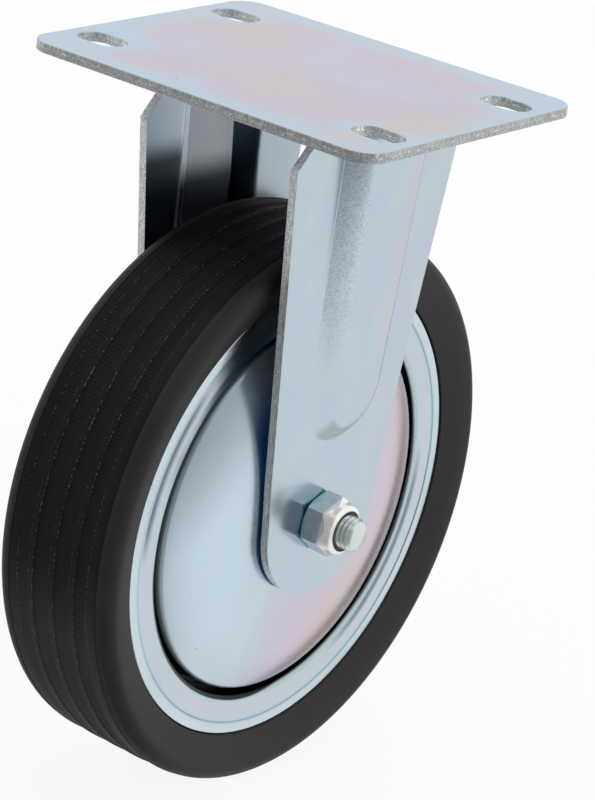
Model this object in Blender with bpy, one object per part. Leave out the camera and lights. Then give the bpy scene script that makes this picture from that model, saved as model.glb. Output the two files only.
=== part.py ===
"""A fixed castor: a top plate, a pressed fork and a rubber-tyred wheel on a roller bearing.

Metres, +Z up. The origin is the middle of the top plate's upper face. X runs along the
axle, towards the nut, and Y is the way that the castor rolls.
"""

import math

import bmesh
import bpy
from mathutils import Matrix, Vector

# Clearance between pieces that seat on each other
SEAT_GAP = 0.0003

# Whole castor
OVERALL_HEIGHT = 0.251
WHEEL_DIAMETER = 0.200
WHEEL_WIDTH = 0.050

# Top plate
PLATE_LENGTH = 0.1445
PLATE_WIDTH = 0.114
PLATE_THICKNESS = 0.0035
PLATE_CORNER_RADIUS = 0.0095
SLOT_LENGTH = 0.0185
SLOT_WIDTH = 0.012
SLOT_FROM_END = 0.014
SLOT_FROM_SIDE = 0.0225

# Fork, pressed from one sheet
FORK_SHEET = 0.003
FORK_TO_TYRE = 0.0029
FORK_SPREAD = 0.0028
FORK_BEND_INNER_RADIUS = 0.004
FORK_WEB_WIDTH = 0.059
LEG_WIDTH_AT_SHOULDER = 0.0874
LEG_SHOULDER_DROP = 0.0152
LEG_END_RADIUS = 0.0282
LEG_END_BELOW_AXLE = 0.0276
LEG_FLAT_ABOVE_AXLE = 0.020
LEG_SET_BACK_AT_AXLE = 0.0012
LEG_SET_BACK_AT_SHOULDER = 0.0034

# Outward pressing that stiffens each leg
PRESSING_WIDTH = 0.037
PRESSING_HEIGHT = 0.0073
PRESSING_LOW_HEIGHT = 0.0045
PRESSING_WALL = 0.0024
PRESSING_LOW_WALL = 0.0060
PRESSING_ABOVE_AXLE = 0.028
PRESSING_END_ANGLE = math.radians(60)
PRESSING_SET_BACK = 0.0018

# Axle bolt and its lock nut
BOLT_DIAMETER = 0.012
BOLT_BEYOND_NUT = 0.0056
BOLT_HEAD_ACROSS_FLATS = 0.018
BOLT_HEAD_HEIGHT = 0.0075
BOLT_END_CHAMFER = 0.0015
NUT_ACROSS_FLATS = 0.019
NUT_HEIGHT = 0.012
NUT_TURN = math.radians(19)
NUT_COLLAR_LENGTH = 0.0026
NUT_COLLAR_WALL = 0.0014
HEX_CHAMFER = 0.0012
INSERT_WALL = 0.0008
INSERT_HEIGHT = 0.0022

# Roller bearing
SLEEVE_WALL = 0.0034
ROLLER_DIAMETER = 0.004
ROLLER_COUNT = 10
CAGE_WALL = 0.0026
CAGE_END_RING = 0.0025
CAGE_END_PLAY = 0.0008
HUB_TUBE_WALL = 0.0027
END_WASHER_THICKNESS = 0.0017

# Pressed rim halves and wheel discs, from the tyre inwards
WHEEL_SHEET = 0.0016
RIM_INSET = 0.0052
RIM_FLANGE_WIDTH = 0.0133
RIM_FLANGE_LEAN = 0.0008
RIM_STEP_WIDTH = 0.00355
RIM_STEP = 0.0003
RIM_LIP_INNER_RADIUS = 0.0002
CHANNEL_WIDTH = 0.0018
CHANNEL_DEPTH = 0.011
DISC_TO_LEG = 0.0010
DISC_FLAT_DIAMETER = 0.056
DISC_DOME_DROP = 0.0079
DISC_EDGE_INNER_RADIUS = 0.0004

# Tyre
TYRE_DEPTH = 0.01695
TYRE_SHOULDER_RADIUS = 0.0048
TYRE_RIB_COUNT = 3
TYRE_RIB_WIDTH = 0.0018
TYRE_RIB_HEIGHT = 0.0004
TYRE_RIB_SPACING = 0.0091
TYRE_RIB_SLOPE = 0.0003
TYRE_BEAD_OVERHANG = 0.0008
TYRE_BEAD_ROUND = 0.0005

# Facets of round pieces
WHEEL_FACETS = 48
HUB_FACETS = 32
BOLT_FACETS = 24
ROLLER_FACETS = 12

# Heights, worked out from the values above
AXLE_Z = WHEEL_DIAMETER / 2 - OVERALL_HEIGHT
WEB_TOP_Z = -PLATE_THICKNESS - SEAT_GAP

# Half reaches along the axle
LEG_INNER_X = WHEEL_WIDTH / 2 + FORK_TO_TYRE
LEG_OUTER_X = LEG_INNER_X + FORK_SHEET
NUT_END_X = LEG_OUTER_X + SEAT_GAP + NUT_HEIGHT
SLEEVE_HALF = LEG_INNER_X - SEAT_GAP
WASHER_INNER_X = SLEEVE_HALF - END_WASHER_THICKNESS
HUB_HALF = WASHER_INNER_X - SEAT_GAP
CAGE_HALF = HUB_HALF - CAGE_END_PLAY
ROLLER_HALF = CAGE_HALF - CAGE_END_RING - SEAT_GAP
RIM_FLANGE_REACH = WHEEL_WIDTH / 2 - RIM_INSET
DISC_FACE_REACH = LEG_INNER_X - DISC_TO_LEG

# Radii
BOLT_RADIUS = BOLT_DIAMETER / 2
BOLT_HOLE_RADIUS = BOLT_RADIUS + SEAT_GAP
INSERT_RADIUS = BOLT_HOLE_RADIUS + INSERT_WALL
INSERT_SEAT_RADIUS = INSERT_RADIUS + SEAT_GAP
NUT_COLLAR_RADIUS = INSERT_SEAT_RADIUS + NUT_COLLAR_WALL
SLEEVE_RADIUS = BOLT_HOLE_RADIUS + SLEEVE_WALL
ROLLER_RADIUS = ROLLER_DIAMETER / 2
ROLLER_CIRCLE = SLEEVE_RADIUS + SEAT_GAP + ROLLER_RADIUS
HUB_BORE_RADIUS = ROLLER_CIRCLE + ROLLER_RADIUS + SEAT_GAP
HUB_OUTER_RADIUS = HUB_BORE_RADIUS + HUB_TUBE_WALL
RIM_RADIUS = WHEEL_DIAMETER / 2 - TYRE_DEPTH
RIM_STEP_RADIUS = RIM_RADIUS - RIM_STEP_WIDTH
RIM_BARREL_RADIUS = RIM_RADIUS - RIM_FLANGE_WIDTH
RIM_LIP_RADIUS = RIM_LIP_INNER_RADIUS + WHEEL_SHEET
DISC_RADIUS = RIM_BARREL_RADIUS - CHANNEL_WIDTH
DISC_EDGE_RADIUS = DISC_EDGE_INNER_RADIUS + WHEEL_SHEET
FORK_BEND_RADIUS = FORK_BEND_INNER_RADIUS + FORK_SHEET

ALONG_X = Vector((1, 0, 0))
AXLE = Vector((0, 0, AXLE_Z))


def clear_scene():
    for obj in list(bpy.data.objects):
        bpy.data.objects.remove(obj)


def make_material(name, colour, metallic, roughness):
    material = bpy.data.materials.new(name)
    material.use_nodes = True
    shader = material.node_tree.nodes["Principled BSDF"]
    shader.inputs["Base Color"].default_value = (*colour, 1)
    shader.inputs["Metallic"].default_value = metallic
    shader.inputs["Roughness"].default_value = roughness
    return material


def add_object(name, bm, material, location=(0, 0, 0)):
    """A scene object with the shape of bm, whose points are measured from location."""
    bmesh.ops.recalc_face_normals(bm, faces=bm.faces)
    mesh = bpy.data.meshes.new(name)
    bm.to_mesh(mesh)
    bm.free()
    obj = bpy.data.objects.new(name, mesh)
    obj.location = location
    bpy.context.scene.collection.objects.link(obj)
    if material:
        mesh.materials.append(material)
    return obj


def smooth(obj, angle=35):
    obj.data.shade_smooth()
    obj.data.set_sharp_from_angle(angle=math.radians(angle))


def add_helper(name, bm, location=(0, 0, 0)):
    """A cutter or other helper, which isn't a piece of the castor."""
    helper = add_object(name, bm, None, location)
    helper.hide_render = True
    helper.display_type = "WIRE"
    return helper


def add_boolean(obj, operation, helper):
    boolean = obj.modifiers.new(helper.name, "BOOLEAN")
    boolean.operation = operation
    boolean.solver = "EXACT"
    boolean.object = helper


def extruded(outline, depth, direction):
    """The closed outline, as points, extruded by depth along direction."""
    bm = bmesh.new()
    face = bm.faces.new([bm.verts.new(point) for point in outline])
    made = bmesh.ops.extrude_face_region(bm, geom=[face])
    top = [item for item in made["geom"] if isinstance(item, bmesh.types.BMVert)]
    bmesh.ops.translate(bm, verts=top, vec=direction * depth)
    return bm


def turned(profile, facets):
    """The (x, radius) profile turned round the X axis. It is a closed loop, or ends on the axis."""
    bm = bmesh.new()
    points = [bm.verts.new((x, 0, radius)) for x, radius in profile]
    edges = [bm.edges.new(pair) for pair in zip(points, points[1:])]
    if profile[0][1] > 0:
        edges.append(bm.edges.new((points[-1], points[0])))
    bmesh.ops.spin(
        bm,
        geom=points + edges,
        cent=(0, 0, 0),
        axis=ALONG_X,
        angle=math.tau,
        steps=facets,
        use_merge=True,
    )
    bmesh.ops.remove_doubles(bm, verts=bm.verts, dist=1e-7)
    return bm


def arc(centre, radius, start, end, steps):
    """Points on an arc, with angles in degrees from the first axis towards the second."""
    angles = [math.radians(start + (end - start) * i / steps) for i in range(steps + 1)]
    return [(centre[0] + radius * math.cos(a), centre[1] + radius * math.sin(a)) for a in angles]


def parallel_path(path, distance):
    """The path moved sideways by distance, to its right, with mitred corners."""
    points = [Vector(point) for point in path]
    moved = []
    for i, point in enumerate(points):
        before = (point - points[i - 1]).normalized() if i else None
        after = (points[i + 1] - point).normalized() if i + 1 < len(points) else None
        sides = [Vector((way.y, -way.x)) for way in (before, after) if way]
        middle = sum(sides, Vector((0, 0))).normalized()
        moved.append(tuple(point + middle * distance / middle.dot(sides[0])))
    return moved


def sheet_profile(path, thickness):
    """The closed outline of a sheet whose face follows the path."""
    return path + parallel_path(path, thickness)[::-1]


def mirrored(profile):
    return [(-x, radius) for x, radius in profile]


def ring_profile(start, end, inner, outer):
    return [(start, inner), (end, inner), (end, outer), (start, outer)]


def cylinder(length, radius, facets):
    """A cylinder along X, its middle on the origin."""
    half = length / 2
    return turned([(-half, 0), (-half, radius), (half, radius), (half, 0)], facets)


def hexagon_bar(start, end, across_flats, turn):
    """A hexagon along X, with a corner at the angle turn from Y."""
    radius = across_flats / math.sqrt(3)
    corners = [turn + math.radians(60 * i) for i in range(6)]
    outline = [(start, radius * math.cos(a), radius * math.sin(a)) for a in corners]
    return extruded(outline, end - start, ALONG_X)


# Top plate


def add_top_plate(material):
    half_x = PLATE_LENGTH / 2 - PLATE_CORNER_RADIUS
    half_y = PLATE_WIDTH / 2 - PLATE_CORNER_RADIUS
    outline = []
    for x, y, start in ((1, 1, 0), (-1, 1, 90), (-1, -1, 180), (1, -1, 270)):
        corner = (x * half_x, y * half_y)
        outline += arc(corner, PLATE_CORNER_RADIUS, start, start + 90, 6)
    bm = extruded([(x, y, 0) for x, y in outline], PLATE_THICKNESS, Vector((0, 0, -1)))
    plate = add_object("top_plate", bm, material)
    slot_x = PLATE_LENGTH / 2 - SLOT_FROM_END
    slot_y = PLATE_WIDTH / 2 - SLOT_FROM_SIDE
    for i, (x, y) in enumerate(((1, 1), (-1, 1), (-1, -1), (1, -1)), 1):
        cutter = add_helper(f"slot_cutter_{i}", slot_bar(), (x * slot_x, y * slot_y, 0))
        add_boolean(plate, "DIFFERENCE", cutter)
    smooth(plate)


def slot_bar():
    """An upright bar with round ends, longer than the plate is thick."""
    radius = SLOT_WIDTH / 2
    reach = SLOT_LENGTH / 2 - radius
    outline = arc((reach, 0), radius, -90, 90, 8) + arc((-reach, 0), radius, 90, 270, 8)
    points = [(x, y, PLATE_THICKNESS) for x, y in outline]
    return extruded(points, 3 * PLATE_THICKNESS, Vector((0, 0, -1)))


# Fork

WEB_TOP = WEB_TOP_Z - AXLE_Z
BEND_CENTRE_HEIGHT = WEB_TOP - FORK_BEND_RADIUS
LEG_TOP_X = LEG_OUTER_X + FORK_SPREAD
SHOULDER_HEIGHT = WEB_TOP - LEG_SHOULDER_DROP
LEG_END_CENTRE = LEG_END_RADIUS - LEG_END_BELOW_AXLE
PRESSING_END_CENTRE = PRESSING_ABOVE_AXLE + PRESSING_WIDTH / 2


def between(value, low, high, at_low, at_high):
    """The straight-line value between at_low and at_high, held level outside low and high."""
    share = min(1, max(0, (value - low) / (high - low)))
    return at_low + share * (at_high - at_low)


def leg_outer_x(height):
    return between(height, LEG_FLAT_ABOVE_AXLE, BEND_CENTRE_HEIGHT, LEG_OUTER_X, LEG_TOP_X)


def leg_half_width(height):
    if height > SHOULDER_HEIGHT:
        return between(height, SHOULDER_HEIGHT, WEB_TOP, LEG_WIDTH_AT_SHOULDER / 2, FORK_WEB_WIDTH / 2)
    return between(height, LEG_END_CENTRE, SHOULDER_HEIGHT, LEG_END_RADIUS, LEG_WIDTH_AT_SHOULDER / 2)


def leg_set_back(height):
    """How far the middle of the leg lies behind the axle, which grows towards its shoulder."""
    at_axle = LEG_SET_BACK_AT_AXLE
    return between(height, LEG_END_CENTRE, SHOULDER_HEIGHT, at_axle, LEG_SET_BACK_AT_SHOULDER)


def pressing_at(height):
    """(half width of its flat top, half width of its foot, height) at a height above the axle."""
    top = BEND_CENTRE_HEIGHT
    foot = PRESSING_WIDTH / 2
    below = PRESSING_END_CENTRE - height
    if below > 0:
        foot = math.sqrt(max(0, foot**2 - below**2))
    wall = between(height, PRESSING_END_CENTRE, top, PRESSING_LOW_WALL, PRESSING_WALL)
    flat = max(foot - wall, foot / 3)
    rise = between(height, PRESSING_END_CENTRE, top, PRESSING_LOW_HEIGHT, PRESSING_HEIGHT)
    end = PRESSING_ABOVE_AXLE + PRESSING_LOW_WALL
    return flat, foot, rise * between(height, PRESSING_ABOVE_AXLE, end, 0, 1)


def fork_row(x, height, outward, half_width, flat, foot, rise):
    """One row of points across the sheet's outer face, from front to back."""
    back = leg_set_back(height)
    middle = PRESSING_SET_BACK if height >= PRESSING_ABOVE_AXLE else back
    inner = [middle + y for y in (-foot, -flat, 0, flat, foot)]
    across = (back - half_width, *inner, back + half_width)
    rises = (0, 0, rise, rise, rise, 0, 0)
    place = Vector((x, 0, height + AXLE_Z))
    return [place + Vector((0, y, 0)) + outward * out for y, out in zip(across, rises)]


def fork_rows():
    """Rows along half the fork, from the middle of the web to the end of the leg."""
    flat, foot, rise = pressing_at(BEND_CENTRE_HEIGHT)
    upward = Vector((0, 0, 1))
    bend_x = LEG_TOP_X - FORK_BEND_RADIUS
    rows = [fork_row(0, WEB_TOP, upward, FORK_WEB_WIDTH / 2, flat, foot, 0)]
    for degrees in (90, 75, 60, 45, 30, 15, 0):
        angle = math.radians(degrees)
        outward = Vector((math.cos(angle), 0, math.sin(angle)))
        height = BEND_CENTRE_HEIGHT + FORK_BEND_RADIUS * math.sin(angle)
        fade = between(angle, 0, PRESSING_END_ANGLE, rise, 0)
        x = bend_x + FORK_BEND_RADIUS * math.cos(angle)
        rows.append(fork_row(x, height, outward, leg_half_width(height), flat, foot, fade))
    straight = (SHOULDER_HEIGHT, PRESSING_END_CENTRE)
    steps = 6
    heights = [straight[0] + (straight[1] - straight[0]) * i / steps for i in range(steps + 1)]
    round_end = arc((PRESSING_END_CENTRE, 0), PRESSING_WIDTH / 2, 0, 90, 6)
    heights += [2 * PRESSING_END_CENTRE - along for along, _ in round_end][::-1][1:-1]
    for height in heights:
        row = (leg_outer_x(height), height, ALONG_X, leg_half_width(height))
        rows.append(fork_row(*row, *pressing_at(height)))
    for height in (PRESSING_ABOVE_AXLE, LEG_FLAT_ABOVE_AXLE):
        half = leg_half_width(height)
        rows.append(fork_row(leg_outer_x(height), height, ALONG_X, half, half / 6, half / 3, 0))
    for height, half in round_leg_end():
        rows.append(fork_row(LEG_OUTER_X, height, ALONG_X, half, half / 3, half * 2 / 3, 0))
    return rows


def round_leg_end():
    """(height, half width) down the round end of the leg."""
    points = arc((0, LEG_END_CENTRE), LEG_END_RADIUS, 0, -87, 9)
    return [(height, half) for half, height in points]


def add_fork(material):
    bm = bmesh.new()
    rows = [[bm.verts.new(point) for point in row] for row in fork_rows()]
    for upper, lower in zip(rows, rows[1:]):
        for i in range(len(upper) - 1):
            bm.faces.new((upper[i], lower[i], lower[i + 1], upper[i + 1]))
    fork = add_object("fork", bm, material)
    mirror = fork.modifiers.new("other leg", "MIRROR")
    mirror.merge_threshold = 0.00001
    sheet = fork.modifiers.new("sheet", "SOLIDIFY")
    sheet.thickness = FORK_SHEET
    sheet.offset = -1
    sheet.use_even_offset = True
    drill = add_helper("axle_drill", cylinder(4 * LEG_OUTER_X, BOLT_HOLE_RADIUS, BOLT_FACETS), AXLE)
    add_boolean(fork, "DIFFERENCE", drill)
    smooth(fork)


# Axle bolt and lock nut


def add_axle_bolt(material):
    head = -LEG_OUTER_X - SEAT_GAP
    end = NUT_END_X + BOLT_BEYOND_NUT
    radius = BOLT_RADIUS
    profile = [(head - BOLT_HEAD_HEIGHT / 2, 0), (head - BOLT_HEAD_HEIGHT / 2, radius)]
    profile += [(end - BOLT_END_CHAMFER, radius), (end, radius - BOLT_END_CHAMFER), (end, 0)]
    bolt = add_object("axle_bolt", turned(profile, BOLT_FACETS), material, AXLE)
    corner = BOLT_HEAD_ACROSS_FLATS / math.sqrt(3)
    outer = head - BOLT_HEAD_HEIGHT
    hexagon = hexagon_bar(outer, head, BOLT_HEAD_ACROSS_FLATS, 0)
    head_bar = add_helper("bolt_head_bar", hexagon, AXLE)
    chamfer = [(outer, 0), (outer, corner - 2 * HEX_CHAMFER), (outer + HEX_CHAMFER, corner)]
    chamfer += [(head + HEX_CHAMFER, corner), (head + HEX_CHAMFER, 0)]
    head_round = add_helper("bolt_head_round", turned(chamfer, BOLT_FACETS), AXLE)
    add_boolean(head_bar, "INTERSECT", head_round)
    add_boolean(bolt, "UNION", head_bar)
    smooth(bolt)


def add_lock_nut(material, insert_material):
    start = NUT_END_X - NUT_HEIGHT
    end = NUT_END_X
    collar = end - NUT_COLLAR_LENGTH
    corner = NUT_ACROSS_FLATS / math.sqrt(3)
    rim = NUT_COLLAR_RADIUS
    bore = BOLT_HOLE_RADIUS
    hexagon = hexagon_bar(start, end, NUT_ACROSS_FLATS, NUT_TURN)
    nut = add_object("lock_nut", hexagon, material, AXLE)
    envelope = [(start, 0), (start, corner - HEX_CHAMFER), (start + HEX_CHAMFER / 2, corner)]
    envelope += [(collar - 2 * HEX_CHAMFER, corner), (collar, rim)]
    envelope += [(end - HEX_CHAMFER, rim), (end, rim - HEX_CHAMFER), (end, 0)]
    add_boolean(nut, "INTERSECT", add_helper("nut_round", turned(envelope, BOLT_FACETS), AXLE))
    insert_start = end - INSERT_HEIGHT
    seat = INSERT_SEAT_RADIUS
    beyond = 2 * NUT_HEIGHT
    hollow = [(start - beyond, 0), (start - beyond, bore), (insert_start - SEAT_GAP, bore)]
    hollow += [(insert_start - SEAT_GAP, seat), (end + beyond, seat), (end + beyond, 0)]
    add_boolean(nut, "DIFFERENCE", add_helper("nut_hollow", turned(hollow, BOLT_FACETS), AXLE))
    smooth(nut)
    ring = ring_profile(insert_start, end - SEAT_GAP, bore, INSERT_RADIUS)
    smooth(add_object("nut_insert", turned(ring, BOLT_FACETS), insert_material, AXLE))


# Roller bearing


def add_bearing(steel, nylon, hub_steel):
    sleeve = ring_profile(-SLEEVE_HALF, SLEEVE_HALF, BOLT_HOLE_RADIUS, SLEEVE_RADIUS)
    smooth(add_object("bearing_sleeve", turned(sleeve, HUB_FACETS), steel, AXLE))
    for side, name in ((-1, "end_washer_left"), (1, "end_washer_right")):
        inner = SLEEVE_RADIUS + SEAT_GAP
        ring = ring_profile(WASHER_INNER_X, SLEEVE_HALF, inner, HUB_OUTER_RADIUS - SEAT_GAP)
        profile = ring if side > 0 else mirrored(ring)
        smooth(add_object(name, turned(profile, HUB_FACETS), nylon, AXLE))
    tube = ring_profile(-HUB_HALF, HUB_HALF, HUB_BORE_RADIUS, HUB_OUTER_RADIUS)
    smooth(add_object("hub_tube", turned(tube, HUB_FACETS), hub_steel, AXLE))
    add_roller_cage(nylon)
    for i in range(ROLLER_COUNT):
        roller = cylinder(2 * ROLLER_HALF, ROLLER_RADIUS, ROLLER_FACETS)
        smooth(add_object(f"roller_{i + 1:02d}", roller, steel, AXLE + roller_offset(i)))


def roller_offset(i):
    angle = math.tau * i / ROLLER_COUNT
    return Vector((0, math.cos(angle), math.sin(angle))) * ROLLER_CIRCLE


def add_roller_cage(material):
    inner = ROLLER_CIRCLE - CAGE_WALL / 2
    ring = ring_profile(-CAGE_HALF, CAGE_HALF, inner, inner + CAGE_WALL)
    cage = add_object("roller_cage", turned(ring, HUB_FACETS), material, AXLE)
    for i in range(ROLLER_COUNT):
        half = ROLLER_HALF + SEAT_GAP
        pocket = cylinder(2 * half, ROLLER_RADIUS + SEAT_GAP, ROLLER_FACETS)
        cutter = add_helper(f"pocket_cutter_{i + 1:02d}", pocket, AXLE + roller_offset(i))
        add_boolean(cage, "DIFFERENCE", cutter)
    smooth(cage)


# Rim halves and wheel discs


def rim_path():
    """The rim half's outer face: down the flange, round its lip, and in along the barrel."""
    flange = RIM_RADIUS
    step = RIM_STEP_RADIUS
    barrel = RIM_BARREL_RADIUS
    lip_top = barrel + RIM_LIP_RADIUS

    def reach(radius):
        return between(radius, barrel, flange, RIM_FLANGE_REACH - RIM_FLANGE_LEAN, RIM_FLANGE_REACH)

    path = [(reach(flange), flange), (reach(step), step + RIM_STEP)]
    path += [(reach(step) - RIM_STEP, step)]
    lip_x = reach(lip_top) - RIM_STEP
    path += arc((lip_x - RIM_LIP_RADIUS, lip_top), RIM_LIP_RADIUS, 0, -90, 3)
    path += [(SEAT_GAP / 2, barrel)]
    return path


def disc_path():
    """The disc's outer face: from the hub out over the dome, in down the skirt, and out to the barrel."""
    edge = DISC_RADIUS
    flat = DISC_FLAT_DIAMETER / 2
    turn_radius = edge - DISC_EDGE_RADIUS
    drop_rate = DISC_DOME_DROP / (turn_radius - flat) ** 2
    slope = math.degrees(math.atan(2 * drop_rate * (turn_radius - flat)))
    path = [(DISC_FACE_REACH, HUB_OUTER_RADIUS + SEAT_GAP)]
    steps = 4
    for i in range(steps):
        radius = flat + (turn_radius - flat) * i / steps
        path.append((DISC_FACE_REACH - drop_rate * (radius - flat) ** 2, radius))
    turn_x = DISC_FACE_REACH - DISC_DOME_DROP - DISC_EDGE_RADIUS
    path += arc((turn_x, turn_radius), DISC_EDGE_RADIUS, slope, 90, 3)
    floor = turn_x - CHANNEL_DEPTH
    path += [(floor, edge), (floor, RIM_BARREL_RADIUS - SEAT_GAP)]
    return path


def add_rims_and_discs(material):
    rim = [(x, min(r, RIM_RADIUS)) for x, r in sheet_profile(rim_path(), WHEEL_SHEET)]
    disc = sheet_profile(disc_path(), -WHEEL_SHEET)
    smooth(add_object("rim_right", turned(rim, WHEEL_FACETS), material, AXLE))
    smooth(add_object("rim_left", turned(mirrored(rim), WHEEL_FACETS), material, AXLE))
    smooth(add_object("disc_right", turned(disc, WHEEL_FACETS), material, AXLE))
    smooth(add_object("disc_left", turned(mirrored(disc), WHEEL_FACETS), material, AXLE))


# Tyre


def tread_path():
    """The tread's right half, from its middle out to the shoulder, as (x, radius)."""
    top = WHEEL_DIAMETER / 2
    base = top - TYRE_RIB_HEIGHT
    path = []
    for i in range((TYRE_RIB_COUNT + 1) // 2):
        middle = i * TYRE_RIB_SPACING
        inner = middle - TYRE_RIB_WIDTH / 2
        outer = middle + TYRE_RIB_WIDTH / 2
        if i:
            path += [(inner - TYRE_RIB_SLOPE, base), (inner, top)]
        path += [(outer, top), (outer + TYRE_RIB_SLOPE, base)]
    return path


def tyre_profile():
    """The closed outline of the tyre's section, seated on the rim with a small gap."""
    half = WHEEL_WIDTH / 2
    base = WHEEL_DIAMETER / 2 - TYRE_RIB_HEIGHT
    turn = TYRE_SHOULDER_RADIUS
    bead = RIM_RADIUS + SEAT_GAP
    bead_x = RIM_FLANGE_REACH + TYRE_BEAD_OVERHANG
    flange_x = RIM_FLANGE_REACH - WHEEL_SHEET - SEAT_GAP
    seat = RIM_BARREL_RADIUS + WHEEL_SHEET + SEAT_GAP
    seat_x = flange_x - RIM_FLANGE_LEAN - RIM_STEP - SEAT_GAP
    path = tread_path()
    path += arc((half - turn, base - turn), turn, 90, 0, 4)
    path += [(bead_x, bead + TYRE_BEAD_ROUND), (bead_x - TYRE_BEAD_ROUND, bead)]
    path += [(flange_x, bead), (seat_x, seat)]
    return path + mirrored(path)[::-1]


def add_tyre(material):
    smooth(add_object("tyre", turned(tyre_profile(), WHEEL_FACETS), material, AXLE))


def main():
    clear_scene()
    zinc = make_material("zinc_plated_steel", (0.56, 0.62, 0.67), 1.0, 0.22)
    bright_zinc = make_material("bright_zinc", (0.66, 0.66, 0.63), 1.0, 0.18)
    bearing_steel = make_material("bearing_steel", (0.50, 0.50, 0.50), 1.0, 0.25)
    rubber = make_material("black_rubber", (0.022, 0.021, 0.022), 0.0, 0.6)
    black_nylon = make_material("black_nylon", (0.010, 0.010, 0.011), 0.0, 0.4)
    add_top_plate(zinc)
    add_fork(zinc)
    add_axle_bolt(bright_zinc)
    add_lock_nut(bright_zinc, black_nylon)
    add_bearing(bearing_steel, black_nylon, bearing_steel)
    add_rims_and_discs(zinc)
    add_tyre(rubber)


main()
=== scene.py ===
"""The looks of a fixed castor: zinc plated plate, fork and wheel, a knurled rubber tyre, and a bolted axle.

Metres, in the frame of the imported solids: the origin is the middle of the plate's upper face,
X runs along the axle towards the nut, Y is the way that the castor rolls, and +Z is up.
"""

import math

import bmesh
import bpy
from mathutils import Matrix, Vector


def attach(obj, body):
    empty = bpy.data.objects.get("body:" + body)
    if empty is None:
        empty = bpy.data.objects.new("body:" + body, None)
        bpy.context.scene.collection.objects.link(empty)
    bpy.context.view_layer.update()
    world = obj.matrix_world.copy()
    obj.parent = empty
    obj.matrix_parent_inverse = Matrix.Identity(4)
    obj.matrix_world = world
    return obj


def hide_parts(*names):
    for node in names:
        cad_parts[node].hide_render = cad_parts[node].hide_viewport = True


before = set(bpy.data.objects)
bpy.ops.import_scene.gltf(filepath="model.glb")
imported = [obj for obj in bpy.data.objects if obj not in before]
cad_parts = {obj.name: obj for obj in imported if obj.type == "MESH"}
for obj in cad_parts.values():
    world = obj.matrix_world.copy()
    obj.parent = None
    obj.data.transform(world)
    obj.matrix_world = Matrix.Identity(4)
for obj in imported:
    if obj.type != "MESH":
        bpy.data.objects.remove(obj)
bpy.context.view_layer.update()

# Whole castor
OVERALL_HEIGHT = 0.251
WHEEL_RADIUS = 0.100
WHEEL_WIDTH = 0.050
AXLE_Z = WHEEL_RADIUS - OVERALL_HEIGHT
AXLE = Vector((0, 0, AXLE_Z))
SEAT_GAP = 0.0003

# Small distances: points that are one, slivers that a Boolean leaves, and a hair's breadth
SAME_PLACE = 1e-6
SHORTEST_EDGE = 0.00001
SLIVER = 0.00003
HAIR = 0.0001

# Most steps of a wedge that is spun before it is doubled
WEDGE_STEPS = 24

# Top plate
PLATE_LENGTH = 0.1445
PLATE_WIDTH = 0.114
PLATE_THICKNESS = 0.0035
PLATE_CORNER_RADIUS = 0.0095
SLOT_LENGTH = 0.0185
SLOT_WIDTH = 0.012
SLOT_X = PLATE_LENGTH / 2 - 0.014
SLOT_Y = PLATE_WIDTH / 2 - 0.0225
SHEARED_EDGE_ROUND = 0.00035

# Fork
FORK_SHEET = 0.003
STRETCHED_SHEET = 0.0012
LEG_OUTER_X = 0.0309
LEG_TOP_X = 0.0337
FORK_BEND_RADIUS = 0.007
FORK_WEB_WIDTH = 0.059
WEB_TOP = -PLATE_THICKNESS - SEAT_GAP - AXLE_Z
BEND_CENTRE = WEB_TOP - FORK_BEND_RADIUS
LEG_SHOULDER = WEB_TOP - 0.0152
LEG_SHOULDER_WIDTH = 0.0874
LEG_SET_BACK_LOW = 0.0012
LEG_SET_BACK_HIGH = 0.0034
LEG_END_RADIUS = 0.0282
LEG_END_CENTRE = 0.0006
LEG_END_SIDE_ARC = 36
LEG_FLAT_ABOVE_AXLE = 0.020

# Pressing in each leg, seen from outside
PRESSING_MIDDLE = 0.0027
PRESSING_HALF = 0.0187
PRESSING_END_CENTRE = 0.0482
PRESSING_HEIGHT = 0.0073
PRESSING_LOW_HEIGHT = 0.0030
PRESSING_FADE = 65
PRESSING_FLAT_HALF = 0.0102
PRESSING_WALL_REACH = 0.0144
PRESSING_BOTTOM = 0.026
WALLS_LOW = 0.052
CRISP_FROM = 0.056
CRISP_FULL = 0.090
FOOT_CRISPNESS = 1.6
FRONT_WALL = 0.0060
FRONT_LOW_WALL = 0.0120
BACK_WALL = 0.0024
END_WALL = 0.0045
CREST_LINE = 0.0005
CREST_TINT = 0.0110
# pressed_line and pressed_end place painted shade on the fork
PRESSED_MASKS = ("pressed_wall", "pressed_line", "pressed_tint", "pressed_end")

# The same pressing, seen from the wheel's side
RECESS_FRONT_HALF = 0.0246
RECESS_BACK_HALF = 0.0193
RECESS_WALL = 0.0090
FLOOR_BEND = 0.3

# Axle bolt and lock nut
BOLT_RADIUS = 0.006
THREAD_PITCH = 0.00175
THREAD_DEPTH = 0.0006
THREAD_START = 0.030
BOLT_END_X = 0.0488
BOLT_END_RADIUS = 0.0045
HEAD_INNER_X = -0.0312
HEAD_HEIGHT = 0.0075
HEAD_ACROSS_FLATS = 0.018
HEAD_FACE_SHARE = 0.94
HEAD_CHAMFER = math.radians(30)
HEAD_WASHER = 0.0005
HEAD_EDGE_ROUND = 0.00025
NUT_START_X = 0.0312
NUT_END_X = 0.0432
NUT_ACROSS_FLATS = 0.019
NUT_TURN = math.radians(19)
NUT_FACE_RADIUS = 0.0095
NUT_CONE_START_X = 0.0380
NUT_CONE_END_X = 0.0405
NUT_CHAMFER = 0.00085
NUT_NECK_ROUND = 0.0030
NUT_EDGE_ROUND = 0.0002
COLLAR_RADIUS = 0.0088
COLLAR_END_RADIUS = 0.0076
COLLAR_END_WIDTH = 0.0008
COLLAR_ROUND = 0.0012
COLLAR_EDGE_ROUND = 0.0005
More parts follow.
